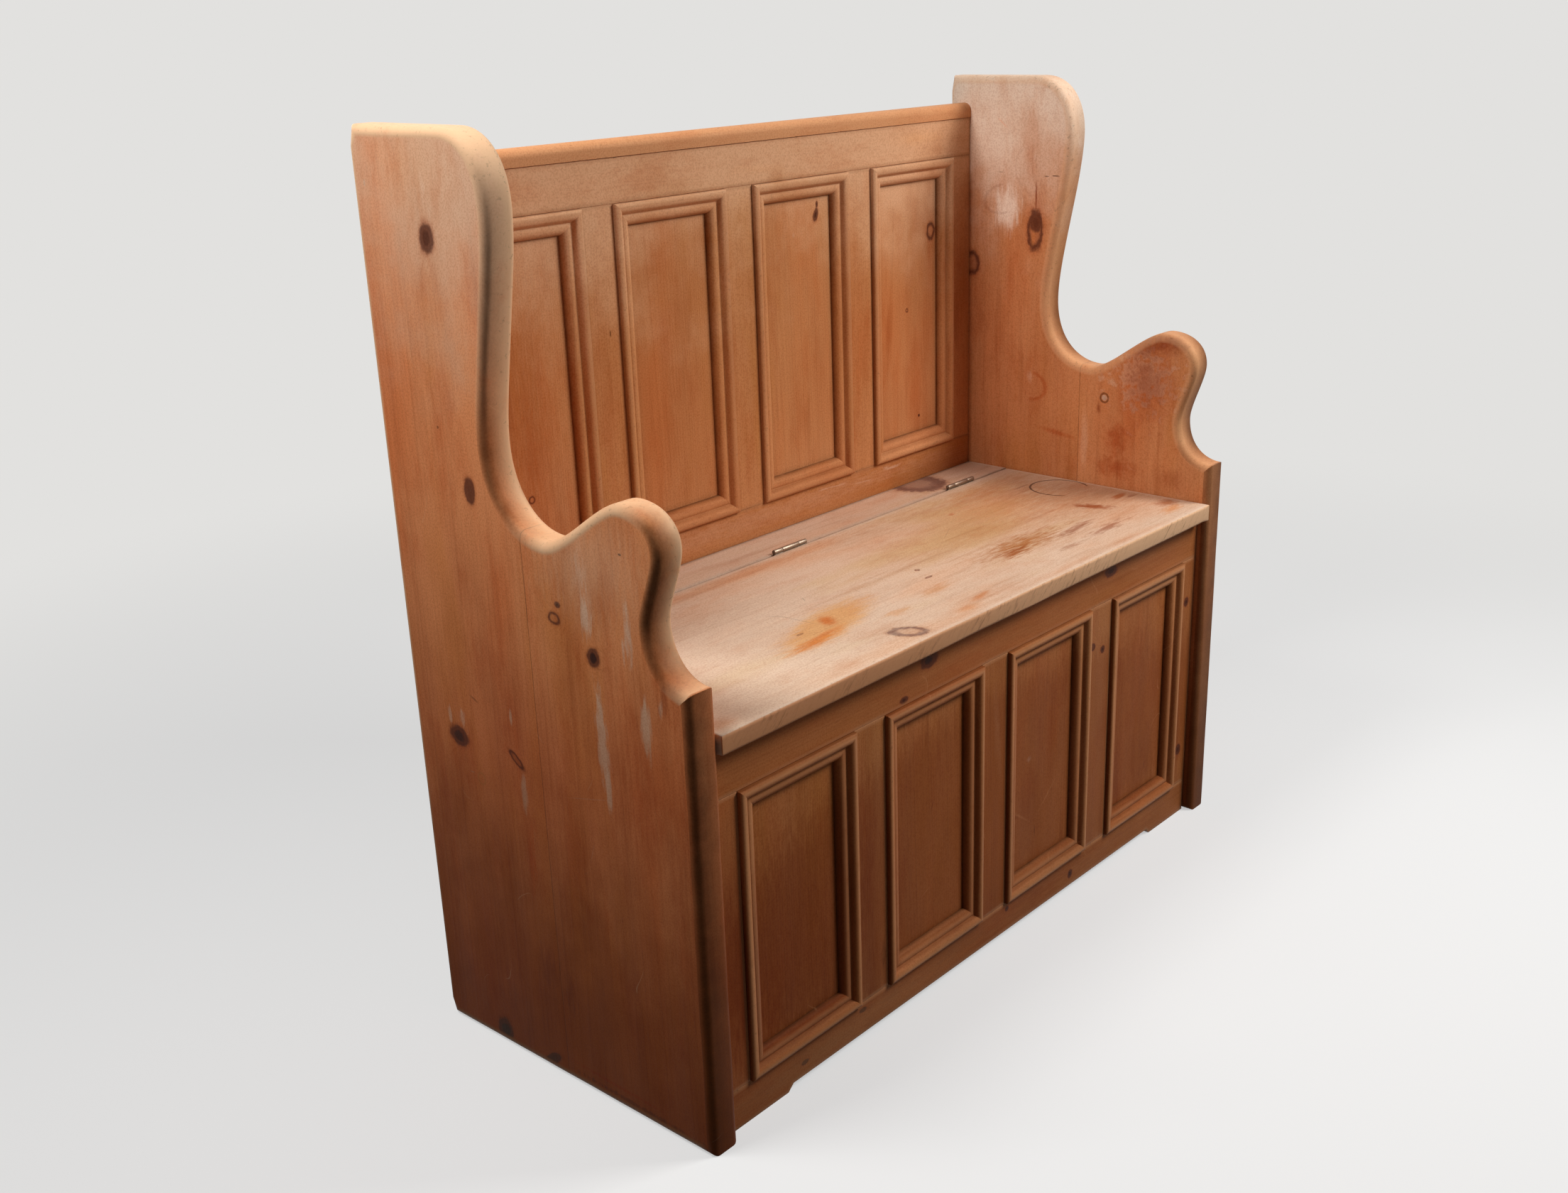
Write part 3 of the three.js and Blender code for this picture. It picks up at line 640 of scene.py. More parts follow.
class PineShading(Wiring):
    """The nodes of one pine finish, whose methods lay layer after layer over the colour so far."""

    def __init__(self, tree: Tree, finish: PineFinish) -> None:
        """Reads the board's grain and tone. Past a glued joint they are another board's.

        Args:
            tree: the material's tree.
            finish: the finish.
        """
        super().__init__(tree)
        self.finish = finish
        self.place = self.add("ShaderNodeTexCoord").outputs["Object"]
        self.across, self.depth, self.height = self.parts(self.place)
        self.grain = self.attribute("grain", "Vector")
        self.tone = self.attribute("tone")
        if finish.joint_depth is not None:
            behind = self.math("GREATER_THAN", self.depth, finish.joint_depth * MM)
            shift = self.combine(self.times(behind, 0.43), self.times(behind, 0.071), 0)
            self.grain = self.vector("ADD", self.grain, shift)
            self.tone = self.line(behind, -0.35, self.tone)
        frayed = self.noise_vector(self.scaled(self.grain, (50, 260, 260)), detail=3)
        self.ragged = self.parts(frayed)[0]

    def wire(self, shader: Node) -> None:
        """Lays every layer and feeds the shader.

        Args:
            shader: the material's shader.
        """
        f = self.finish
        swell, knotty = self.knots()
        wood = self.use(Effects.get("pine_grain"), Grain=self.grain, Swell=swell,
                        Ring_Width=f.ring_width * MM, Rings=f.rings, Bands=f.bands, Fibres=f.fibres,
                        Early=linear(f.early), Late=linear(f.late))
        self.colour = wood.outputs["Color"]
        self.shift_tone()
        self.fade_and_light_top(wood.outputs["Height"])
        shades = [(place, (*linear(shade)[:3], cover)) for place, shade, cover in f.knot_shades]
        node = self.ramp(knotty, shades)
        self.colour = self.mix(node.outputs["Alpha"], self.colour, node.outputs["Color"])
        covered = self.stains()
        self.draw_joint()
        used = self.use(Effects.get("handling"), Color=self.colour, Place=self.place, Grain=self.grain,
                        Edge=self.attribute("edge"), Grime=self.attribute("grime"), Worn=linear(f.worn),
                        Dirt=linear(f.dirt), Edge_Wear=f.edge_wear, Corner_Dirt=f.corner_dirt,
                        Floor_Dirt=f.floor_dirt, Floor_Reach=f.floor_reach, Floor_Shade=f.floor_shade,
                        Scratches=f.scratches, Mottle=f.mottle)
        self.colour = used.outputs["Color"]
        self.saw_edge()

        smear = self.noise(self.scaled(self.grain, (7, 30, 30)), detail=3)
        rough = self.line(smear, 0.24, f.roughness - 0.12)
        rough = self.line(covered, 0.25, rough)
        rough = self.line(used.outputs["RubbedAndLit"], -0.08, rough, clamp=True)
        height = self.line(knotty, 0.6, wood.outputs["Height"])
        height = self.line(used.outputs["Height"], 1, height)
        self.into(shader, Base_Color=self.colour, Roughness=rough, Specular_IOR_Level=f.gloss,
                  Specular_Tint=(*f.sheen, 1), Normal=self.bump(height, f.relief, 0.5 * MM))

    def knots(self) -> tuple[Term, Term]:
        """Places the knots.

        Returns:
            How far they push the rings aside, and how deep each place lies in a knot.
        """
        swell: Term = 0.0
        depth: Term = 0.0
        rough_edge = self.parts(self.noise_vector(self.place, scale=130, detail=3))[0]
        for marks in self.finish.marked:
            for knot in marks.knots:
                node = self.use(Effects.get("knot"), Place=self.place, Ragged=rough_edge, Swell=swell,
                                Depth=depth, Heart=knot.heart, Push=knot.push, **marks.ellipse(knot))
                swell, depth = node.outputs["Swell"], node.outputs["Depth"]
        return swell, depth

    def stains(self) -> Term:
        """Lays the stains and scuffs.

        Returns:
            How much of each place a scuff covers.
        """
        covered: Term = 0.0
        cloudy = self.parts(self.noise_vector(self.place, scale=105, detail=4))[1]
        for marks in self.finish.marked:
            for stain in marks.stains:
                node = self.use(Effects.get("stain"), Color=self.colour, Place=self.place,
                                Ragged=cloudy if stain.mottled else self.ragged, Soft=stain.soft,
                                Fray=stain.fray, Hollow=stain.hollow, Opening=stain.opening,
                                Strength=stain.strength, Cover=stain.cover, Tint=linear(stain.tint),
                                **marks.ellipse(stain))
                self.colour = node.outputs["Color"]
                if stain.cover > 0:
                    covered = self.math("MAXIMUM", covered, node.outputs["Mask"])
        return covered

    def shift_tone(self) -> None:
        """Shifts the colour by the board's tone, up to lighter and down to redder and darker."""
        lighter = self.math("MULTIPLY", self.tone, 0.16, clamp=True)
        darker = self.math("MULTIPLY", self.tone, -0.3, clamp=True)
        self.colour = self.mix(lighter, self.colour, linear((255, 214, 168)))
        self.colour = self.tint(darker, self.colour, (206, 150, 120))

    def fade_and_light_top(self, relief: Socket) -> None:
        """Lightens the timber towards its top, partly a finish that has paled and partly painted light from
        above, less where its grain stands up.

        Args:
            relief: the relief of the grain.
        """
        if not self.finish.fade_and_light_share:
            return
        cloudy = self.noise(self.place, scale=7, detail=4, rough=0.62)
        # Painted light from above, with a finish that has paled: lighter towards the top.
        rise = self.math("ADD", self.height, self.line(cloudy, 0.5, -0.25))
        share = self.remap(self.line(relief, -0.03, rise), self.finish.fade_and_light_span, (0, self.finish.fade_and_light_share))
        self.colour = self.mix(share, self.colour, linear(self.finish.faded_and_lit))

    def draw_joint(self) -> None:
        """Draws the thin dark line of a glued joint."""
        if self.finish.joint_depth is None:
            return
        off = self.math("ABSOLUTE", self.math("SUBTRACT", self.depth, self.finish.joint_depth * MM))
        line = self.remap(self.line(self.ragged, 1.2 * MM, off), (0.9 * MM, 0.2 * MM))
        self.colour = self.mix(self.times(line, 0.45), self.colour, linear(self.finish.dirt))

    def saw_edge(self) -> None:
        """Darkens and scores the rough front edge of the seat, whose brown grows lighter towards the right as
        painted light.
        """
        if self.finish.edge_rough is None:
            return
        level = self.finish.edge_rough * MM
        front = self.remap(self.depth, (level + 2.2 * MM, level + 0.9 * MM))
        slant = self.combine(self.math("SUBTRACT", self.across, self.height), 0,
                             self.math("ADD", self.across, self.height))
        torn = self.noise(self.scaled(slant, (170, 1, 26)), detail=4, rough=0.7)
        patchy = self.remap(self.noise(self.place, scale=9, detail=2), (0.42, 0.62), (0.12, 0.5))
        torn = self.times(self.remap(torn, (0.5, 0.66)), self.times(front, patchy))
        # Painted light: the edge's brown grows lighter towards the right.
        painted_light_to_right = self.remap(self.across, (-0.4, 0.45))
        brown = self.mix(painted_light_to_right, linear((206, 136, 86)), linear((240, 190, 146)))
        self.colour = self.mix(self.times(front, 0.85), self.colour, brown)
        self.colour = self.mix(torn, self.colour, linear((116, 68, 40)))


@dataclass(frozen=True)
class SteelFinish:
    """Worn steel with brown tarnish in its hollows."""

    name: str = "hinge_steel_worn"
    bright: Shade = (164, 146, 128)
    tarnish: Shade = (96, 74, 58)
    roughness: float = 0.4

    def material(self) -> Material:
        """The finish as a material.

        Returns:
            The new material.
        """
        material, shader = new_material(self.name)
        w = Wiring(material.node_tree)
        place = w.add("ShaderNodeTexCoord").outputs["Object"]
        cloudy = w.noise(place, scale=420, detail=3, rough=0.6)
        brushed = w.noise(w.scaled(place, (40, 900, 900)), detail=2)
        spoiled = w.remap(w.line(w.attribute("grime"), 0.3, cloudy), (0.6, 0.95))
        rough = w.line(brushed, 0.12, w.line(spoiled, 0.35, self.roughness))
        w.into(shader, Base_Color=w.mix(spoiled, linear(self.bright), linear(self.tarnish)),
               Metallic=w.line(spoiled, -0.5, 1), Roughness=rough,
               Normal=w.bump(w.math("ADD", cloudy, brushed), 0.2, 0.1 * MM))
        return material


# Meshes


@dataclass(frozen=True)
class Board:
    """How a board was sawn: the axes of its grain and its width, and where the heart of the tree lay.

    The heart is off the board's middle, across and through, in millimetres. The start is where along the
    tree the board begins, in metres. The tone is lighter above 0 and darker below.
    """

    along: Axis
    across: Axis
    heart: Pair
    start: float
    tone: float

    @staticmethod
    def sawn(along: Axis, across: Axis, seed: int, calm: float = 1.0) -> "Board":
        """A board with places drawn from a fixed seed.

        Args:
            along: the axis that the grain follows.
            across: the axis of the board's width.
            seed: the seed.
            calm: how much of the tone's spread is kept.

        Returns:
            The board.
        """
        draw = random.Random(seed)
        side = draw.choice((-1, 1))
        heart = (side * draw.uniform(30, 150), draw.uniform(25, 90))
        return Board(along, across, heart, draw.uniform(0, 9), draw.uniform(-1, 1) * calm)

    def places(self, points: Array) -> Array:
        """Where each point lies in the tree.

        Args:
            points: the points of the mesh, one a row.

        Returns:
            Places along, across and through the grain, one a row.
        """
        through = ({0, 1, 2} - {self.along.value, self.across.value}).pop()
        middle = (points.min(axis=0) + points.max(axis=0)) / 2
        along = points[:, self.along.value] + self.start
        across = points[:, self.across.value] - middle[self.across.value] + self.heart[0] * MM
        depth = points[:, through] - middle[through] + self.heart[1] * MM
        return np.stack([along, across, depth], axis=1)


def linked(name: str, data: bpy.types.ID) -> Piece:
    """A new object at the origin, linked to the scene.

    Args:
        name: its name.
        data: its mesh, lamp or camera.

    Returns:
        The object.
    """
    piece = bpy.data.objects.new(name, data)
    bpy.context.scene.collection.objects.link(piece)
    return piece


def smooth(mesh: Mesh, angle: float) -> None:
    """Shades a mesh smooth, but for edges that turn more than an angle in degrees."""
    mesh.shade_smooth()
    mesh.set_sharp_from_angle(angle=math.radians(angle))


def store(mesh: Mesh, **layers: Array) -> None:
    """Stores values at a mesh's points, for its finish to read.

    Args:
        mesh: the mesh.
        layers: the values by the attribute's name.
    """
    for name, values in layers.items():
        layer = mesh.attributes.new(name, "FLOAT", "POINT")
        layer.data.foreach_set("value", values.astype(np.float32))


def place(piece: Piece, body: Body, slot: Slot, *nodes: str) -> None:
    """Puts a finished piece on its body, in the place of CAD nodes.

    Args:
        piece: the piece.
        body: the body it rides on.
        slot: the record's slot of its finish; not used.
        nodes: the nodes that it stands for.
    """
    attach(piece, body.value)
    if nodes:
        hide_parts(*nodes)
    log.info("%s rides on %s, %d faces", piece.name, body.value, len(piece.data.polygons))


class Form:
    """A mesh in the making: faces, points, and the values that the finishes read from them."""

    SHARP_ANGLE = 32.0

    def __init__(self) -> None:
        """Starts without points."""
        self.faces: Faces = []
        self.rows: dict[str, list[Array]] = {n: [] for n in ("points", "grain", "edge", "grime", "tone")}
        self.count = 0

    def take(self, points: Array, faces: Faces, board: Optional[Board] = None,
             edge: Union[float, Array] = 0.0, grime: Union[float, Array] = 0.0) -> "Form":
        """Adds a solid.

        Args:
            points: its points, one a row.
            faces: its faces, by the numbers of its own points.
            board: the board that it is cut from.
            edge: how near each point is to an exposed edge.
            grime: how much each point is darkened, partly by dirt that it has caught and partly by painted
                shade.

        Returns:
            The form itself.
        """
        self.faces.extend(tuple(self.count + index for index in face) for face in faces)
        self.count += len(points)
        none = np.zeros(len(points))
        grain = board.places(points) if board else np.zeros((len(points), 3))
        fresh = (points, grain, none + edge, none + grime, none + (board.tone if board else 0.0))
        for rows, values in zip(self.rows.values(), fresh):
            rows.append(values)
        return self

    def build(self, name: str, material: Material) -> Piece:
        """Makes the object.

        Args:
            name: the object's name.
            material: its material.

        Returns:
            The object, linked to the scene at the origin.
        """
        values = {label: np.concatenate(rows) for label, rows in self.rows.items()}
        mesh = bpy.data.meshes.new(name)
        mesh.from_pydata(values.pop("points").tolist(), [], self.faces)
        mesh.update()
        grain = mesh.attributes.new("grain", "FLOAT_VECTOR", "POINT")
        grain.data.foreach_set("vector", values.pop("grain").astype(np.float32).ravel())
        store(mesh, **values)
        mesh.materials.append(material)
        smooth(mesh, self.SHARP_ANGLE)
        return linked(name, mesh)

    def fit(self, node: str, kind: str, material: Material, slot: Slot, body: Body = Body.CARCASS) -> None:
        """Makes the object, named after its node and its kind, and puts it in the node's place."""
        place(self.build(f"{node}_{kind}", material), body, slot, node)


def arris_lines(low: float, high: float, round_by: float, reach: float, pitch: float) -> list[float]:
    """The lines that a rounded plank's faces are divided at, along one axis.

    Args:
        low: where the plank starts.
        high: where it ends.
        round_by: the radius of its edges.
        reach: how far in from an edge its wear fades out.
        pitch: the widest step between lines.

    Returns:
        The lines, rising.
    """
    half_turn = round_by * (1 - math.tan(math.radians(22.5)))
    near = [step for step in (0.0, half_turn, round_by, reach) if step < (high - low) / 2]
    inner_low, inner_high = low + near[-1], high - near[-1]
    count = max(1, math.ceil((inner_high - inner_low) / pitch))
    inner = [inner_low + (inner_high - inner_low) * i / count for i in range(1, count)]
    return [low + step for step in near] + inner + [high - step for step in reversed(near)]


def plank(low: Sequence[float], high: Sequence[float], round_by: float, reach: float = 5 * MM,
          pitch: float = 60 * MM) -> Solid:
    """A squared board with rounded edges.

    Args:
        low: its lowest corner.
        high: its highest corner.
        round_by: the radius of its edges.
        reach: how far in from an edge its wear fades out.
        pitch: the widest step between its points.

    Returns:
        Its points, its faces, and how near each point is to an edge.
    """
    lines = [arris_lines(low[axis.value], high[axis.value], round_by, reach, pitch) for axis in Axis]
    last = [len(line) - 1 for line in lines]
    found: dict[tuple[int, ...], int] = {}
    faces: Faces = []
    for axis in Axis:
        one, two = axis.others
        for end in (0, last[axis.value]):
            for i in range(last[one]):
                for j in range(last[two]):
                    loop = []
                    for step_i, step_j in ((0, 0), (1, 0), (1, 1), (0, 1)):
                        key = [end, end, end]
                        key[one], key[two] = i + step_i, j + step_j
                        loop.append(found.setdefault(tuple(key), len(found)))
                    faces.append(tuple(loop if end else reversed(loop)))
    points = np.array([[line[place] for line, place in zip(lines, key)] for key in found])
    nearest = np.clip(points, np.array(low) + round_by, np.array(high) - round_by)
    away = points - nearest
    length = np.maximum(np.linalg.norm(away, axis=1, keepdims=True), 1e-12)
    from_faces = np.sort(np.minimum(points - np.array(low), np.array(high) - points), axis=1)
    edge = np.clip(1 - from_faces[:, 1] / reach, 0, 1)
    return nearest + away / length * round_by, faces, edge


def inset(outline: Array, by: Array, sharp: float = 0.8, sharpest: float = 0.3) -> Array:
    """Moves each corner of a closed outline inwards, square to both of its sides.

    Args:
        outline: the corners in order, anticlockwise, one a row.
        by: how far each corner's sides move.
        sharp: the cosine of half the turn from which a corner draws its neighbours to itself.
        sharpest: the least cosine that it is moved by.

    Returns:
        The moved corners.
    """
    ahead = np.roll(outline, -1, axis=0) - outline
    steps = np.linalg.norm(ahead, axis=1)
    ahead /= steps[:, None]
    inward = np.stack([-ahead[:, 1], ahead[:, 0]], axis=1)
    middle = inward + np.roll(inward, 1, axis=0)
    middle /= np.linalg.norm(middle, axis=1, keepdims=True)
    share = np.maximum((middle * inward).sum(axis=1), sharpest)
    moved = outline + middle * (by / share)[:, None]
    for corner in np.flatnonzero(share < sharp):
        for way in (1, -1):
            here, run = corner, 0.0
            while True:
                run += steps[here if way > 0 else here - 1]
                here = (here + way) % len(outline)
                if run >= by[corner]:
                    break
                moved[here] = moved[corner]
    return moved


def ring_faces(pairs: Iterable[tuple[int, int]], count: int) -> Faces:
    """The faces between pairs of rings of points.

    Args:
        pairs: the numbers of the rings.
        count: how many points a ring has.

    Returns:
        The faces.
    """
    faces = []
    for here, there in pairs:
        for i in range(count):
            j = (i + 1) % count
            faces.append((here * count + i, here * count + j, there * count + j, there * count + i))
    return faces


def slab(outline: Array, rounds: Array, span: Pair, normal: Axis, steps: int,
         supports: Sequence[float]) -> Solid:
    """A flat board cut to an outline, with its edges rounded over.

    Args:
        outline: the corners in order, anticlockwise about the normal, one a row.
        rounds: the radius of the edge at each corner.
        span: where the board lies along its normal.
        normal: the axis of its thickness.
        steps: how many steps a rounded edge has.
        supports: how far past the round each further ring lies. Wear ends at the last.

    Returns:
        Its points, its faces, and how near each point is to an edge.
    """
    count = len(outline)
    middle, half = (span[0] + span[1]) / 2, (span[1] - span[0]) / 2
    rings: list[tuple[Array, Union[float, Array], float]] = []
    for step in range(steps + 1):
        angle = math.radians(90) * step / steps
        moved = inset(outline, rounds * (1 - math.cos(angle)))
        rings.append((moved, half - rounds * (1 - math.sin(angle)), 1.0))
    rings += [(inset(outline, rounds + support), half, 1 - support / supports[-1]) for support in supports]
    order = [(ring, -1) for ring in reversed(rings)] + [(ring, 1) for ring in rings]
    points = np.zeros((len(order), count, 3))
    edge = np.zeros((len(order), count))
    for number, ((flat, rise, near), side) in enumerate(order):
        points[number][:, normal.others] = flat
        points[number][:, normal.value] = middle + side * rise
        edge[number] = near
    last = (len(order) - 1) * count
    faces = [tuple(reversed(range(count)))]
    faces += ring_faces(zip(range(len(order)), range(1, len(order))), count)
    faces.append(tuple(range(last, last + count)))
    return points.reshape(-1, 3), faces, edge.ravel()


def even_steps(start: Pair, end: Pair, pitch: float) -> list[Pair]:
    """Points along a straight line in steps of a pitch at most, without its end."""
    count = max(1, math.ceil(math.dist(start, end) / pitch))
    return [tuple(a + (b - a) * i / count for a, b in zip(start, end)) for i in range(count)]


def lathe(profile: Sequence[Pair], centre: Sequence[float], sides: int) -> tuple[Array, Faces]:
    """A closed profile turned about an axis along X.

    Args:
        profile: distances along the axis and radii, closed on itself.
        centre: a point on the axis.
        sides: how many sides the turning has.

    Returns:
        Its points and faces.
    """
    points = []
    for step in range(sides):
        angle = 2 * math.pi * step / sides
        for along, radius in profile:
            around = (along, radius * math.cos(angle), radius * math.sin(angle))
            points.append([middle + off for middle, off in zip(centre, around)])
    pairs = [(step, (step + 1) % sides) for step in range(sides)]
    return np.array(points), ring_faces(pairs, len(profile))


def grown(name: str, tree: Tree, angle: float, **settings: object) -> Piece:
    """Evaluates a geometry tree into a plain mesh.

    Args:
        name: the new object's name.
        tree: the tree.
        angle: edges that turn more than this, in degrees, stay sharp.
        settings: its inputs by name.

    Returns:
        The object, linked to the scene at the origin.
    """
    seed = linked(name + "_seed", bpy.data.meshes.new(name + "_seed"))
    modifier = seed.modifiers.new("shape", "NODES")
    modifier.node_group = tree
    for item in tree.interface.items_tree:
        if item.in_out == "INPUT":
            modifier[item.identifier] = settings[item.name]
    depsgraph = bpy.context.evaluated_depsgraph_get()
    mesh = bpy.data.meshes.new_from_object(seed.evaluated_get(depsgraph), preserve_all_data_layers=True,
                                           depsgraph=depsgraph)
    mesh.name = name
    bpy.data.objects.remove(seed)
    smooth(mesh, angle)
    return linked(name, mesh)


# The ends


@dataclass
class ScrolledEnd:
    """One end of the bench: a thick glued board with a scrolled front edge, rounded over all round.

    Sizes are in millimetres. A turn of the scroll is its share of the depth, its share of the height
    between the shoulder and the crown, and whether the edge heads up there.
    """

    node: str
    finish: PineFinish
    seed: int
    shoulder: float = 533.5
    edge_round: float = 9.0
    rear_arris: float = 1.4
    waver: float = 0.12
    bend_share: float = 0.6
    sweep_share: float = 0.25
    curve_steps: int = 22
    pitch: float = 22.0
    turn_shares: tuple[tuple[float, float, bool], ...] = (
        (0, 0, False), (0.117, 0.108, True), (0.069, 0.258, True), (0.188, 0.342, False),
        (0.447, 0.228, False), (0.62, 0.396, True), (0.536, 0.852, True), (0.679, 1, False),
    )

    def scroll(self, front: float, rear: float, top: float) -> list[Pair]:
        """The scrolled edge from the shoulder to the crown.

        Args:
            front: the front of the end, in metres.
            rear: its rear.
            top: its top.

        Returns:
            Points in depth and height, in metres.
        """
        depth, base = rear - front, self.shoulder * MM
        turns = [((front + d * depth, base + r * (top - base)), up) for d, r, up in self.turn_shares]
        points: list[Pair] = []
        for (start, start_up), (end, end_up) in zip(turns, turns[1:]):
            share = self.sweep_share if start_up == end_up else self.bend_share
            reach = (abs(end[0] - start[0]) * share, abs(end[1] - start[1]) * share)
            leave = (start[0], start[1] + reach[1]) if start_up else (start[0] + reach[0], start[1])
            arrive = (end[0], end[1] - reach[1]) if end_up else (end[0] - reach[0], end[1])
            corners = (start, leave, arrive, end)
            for step in range(self.curve_steps):
                t = step / self.curve_steps
                weights = ((1 - t) ** 3, 3 * t * (1 - t) ** 2, 3 * t * t * (1 - t), t ** 3)
                points.append(tuple(sum(wt * c[k] for wt, c in zip(weights, corners)) for k in (0, 1)))
        return points + [turns[-1][0]]

    def handled_and_shaded_band(self, outline: Array, points: Array, edge: Array,
                     outer: float) -> tuple[Array, Array]:
        """The dark band on the outer rounding where it faces the front: partly dirt that hands and feet have
        left, partly painted shade where the lamps light the rounding least.

        Args:
            outline: the outline of the end.
            points: its points, ring by ring.
            edge: how near each is to an edge.
            outer: where its outer face lies.

        Returns:
            The darkening at each point, partly dirt and partly painted shade, and the share of wear that it
            keeps.
        """
        ahead = np.roll(outline, -1, axis=0) - np.roll(outline, 1, axis=0)
        ahead /= np.linalg.norm(ahead, axis=1, keepdims=True)
        facing = np.tile(np.clip(ahead[:, 1] * -1.3, 0, 1), len(points) // len(outline))
        across = np.abs(points[:, 0] - outer) / (self.edge_round * MM)
        height = points[:, 2]
        # Partly dirt, partly painted shade: darkest on the outer rounding that faces the front, which the
        # lamps light least.
        band = np.interp(across, [0.0, 0.03, 0.15, 1.05, 1.6], [0.3, 0.7, 1.0, 0.9, 0.0])
        held_and_shaded = np.interp(height, [0.0, 0.5, 0.72, 0.8, 0.99, 1.03], [0.9, 1.0, 0.9, 0.5, 0.35, 0.0]) * facing
        low = np.interp(height, [0.53, 0.56], [1.0, 0.0]) * facing
        bare = np.clip(held_and_shaded * 1.2, 0, 1) * (across < 1.6)
        return np.maximum(band, low * 0.55) * held_and_shaded * (edge >= 1.0), 1 - np.maximum(bare, low)

    def build(self) -> None:
        """Makes the end."""
        low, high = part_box(self.node)
        front, rear, top = low.y, high.y, high.z
        pitch, round_by, arris = (size * MM for size in (self.pitch, self.edge_round, self.rear_arris))
        curve = self.scroll(front, rear, top)
        loop = even_steps((front, 0.0), curve[0], pitch) + curve[:-1]
        corners = (curve[-1], (rear, top), (rear, 0.0), (front, 0.0))
        for start, end in zip(corners, corners[1:]):
            loop += even_steps(start, end, pitch)
        outline = np.array(loop)[::-1].copy()
        rounds = np.full(len(outline), round_by)
        for i, (depth, height) in enumerate(outline):
            if depth > rear - 1e-6:
                from_corner = min(height, top - height) / (2 * round_by)
                rounds[i] = arris + (round_by - arris) * max(0.0, 1 - from_corner)
            else:
                rounds[i] *= 1 + self.waver * noise.noise(Vector((depth * 14, height * 14, self.seed)))
        board = Board(Axis.Z, Axis.Y, (70.0, 46.0 + 9 * self.seed), 2.7 * self.seed, 0.0)
        points, faces, edge = slab(outline, rounds, (low.x, high.x), Axis.X, 7, (0.8 * MM, 3.5 * MM))
        outer = max(low.x, high.x, key=abs)
        # The band darkens through the grime attribute: partly dirt, partly painted shade.
        band, kept = self.handled_and_shaded_band(outline, points, edge, outer)
        form = Form().take(points, faces, board, edge * kept, band)
        form.fit(self.node, "board", self.finish.material(), Slot.AGED_PINE)


# The panelled frames


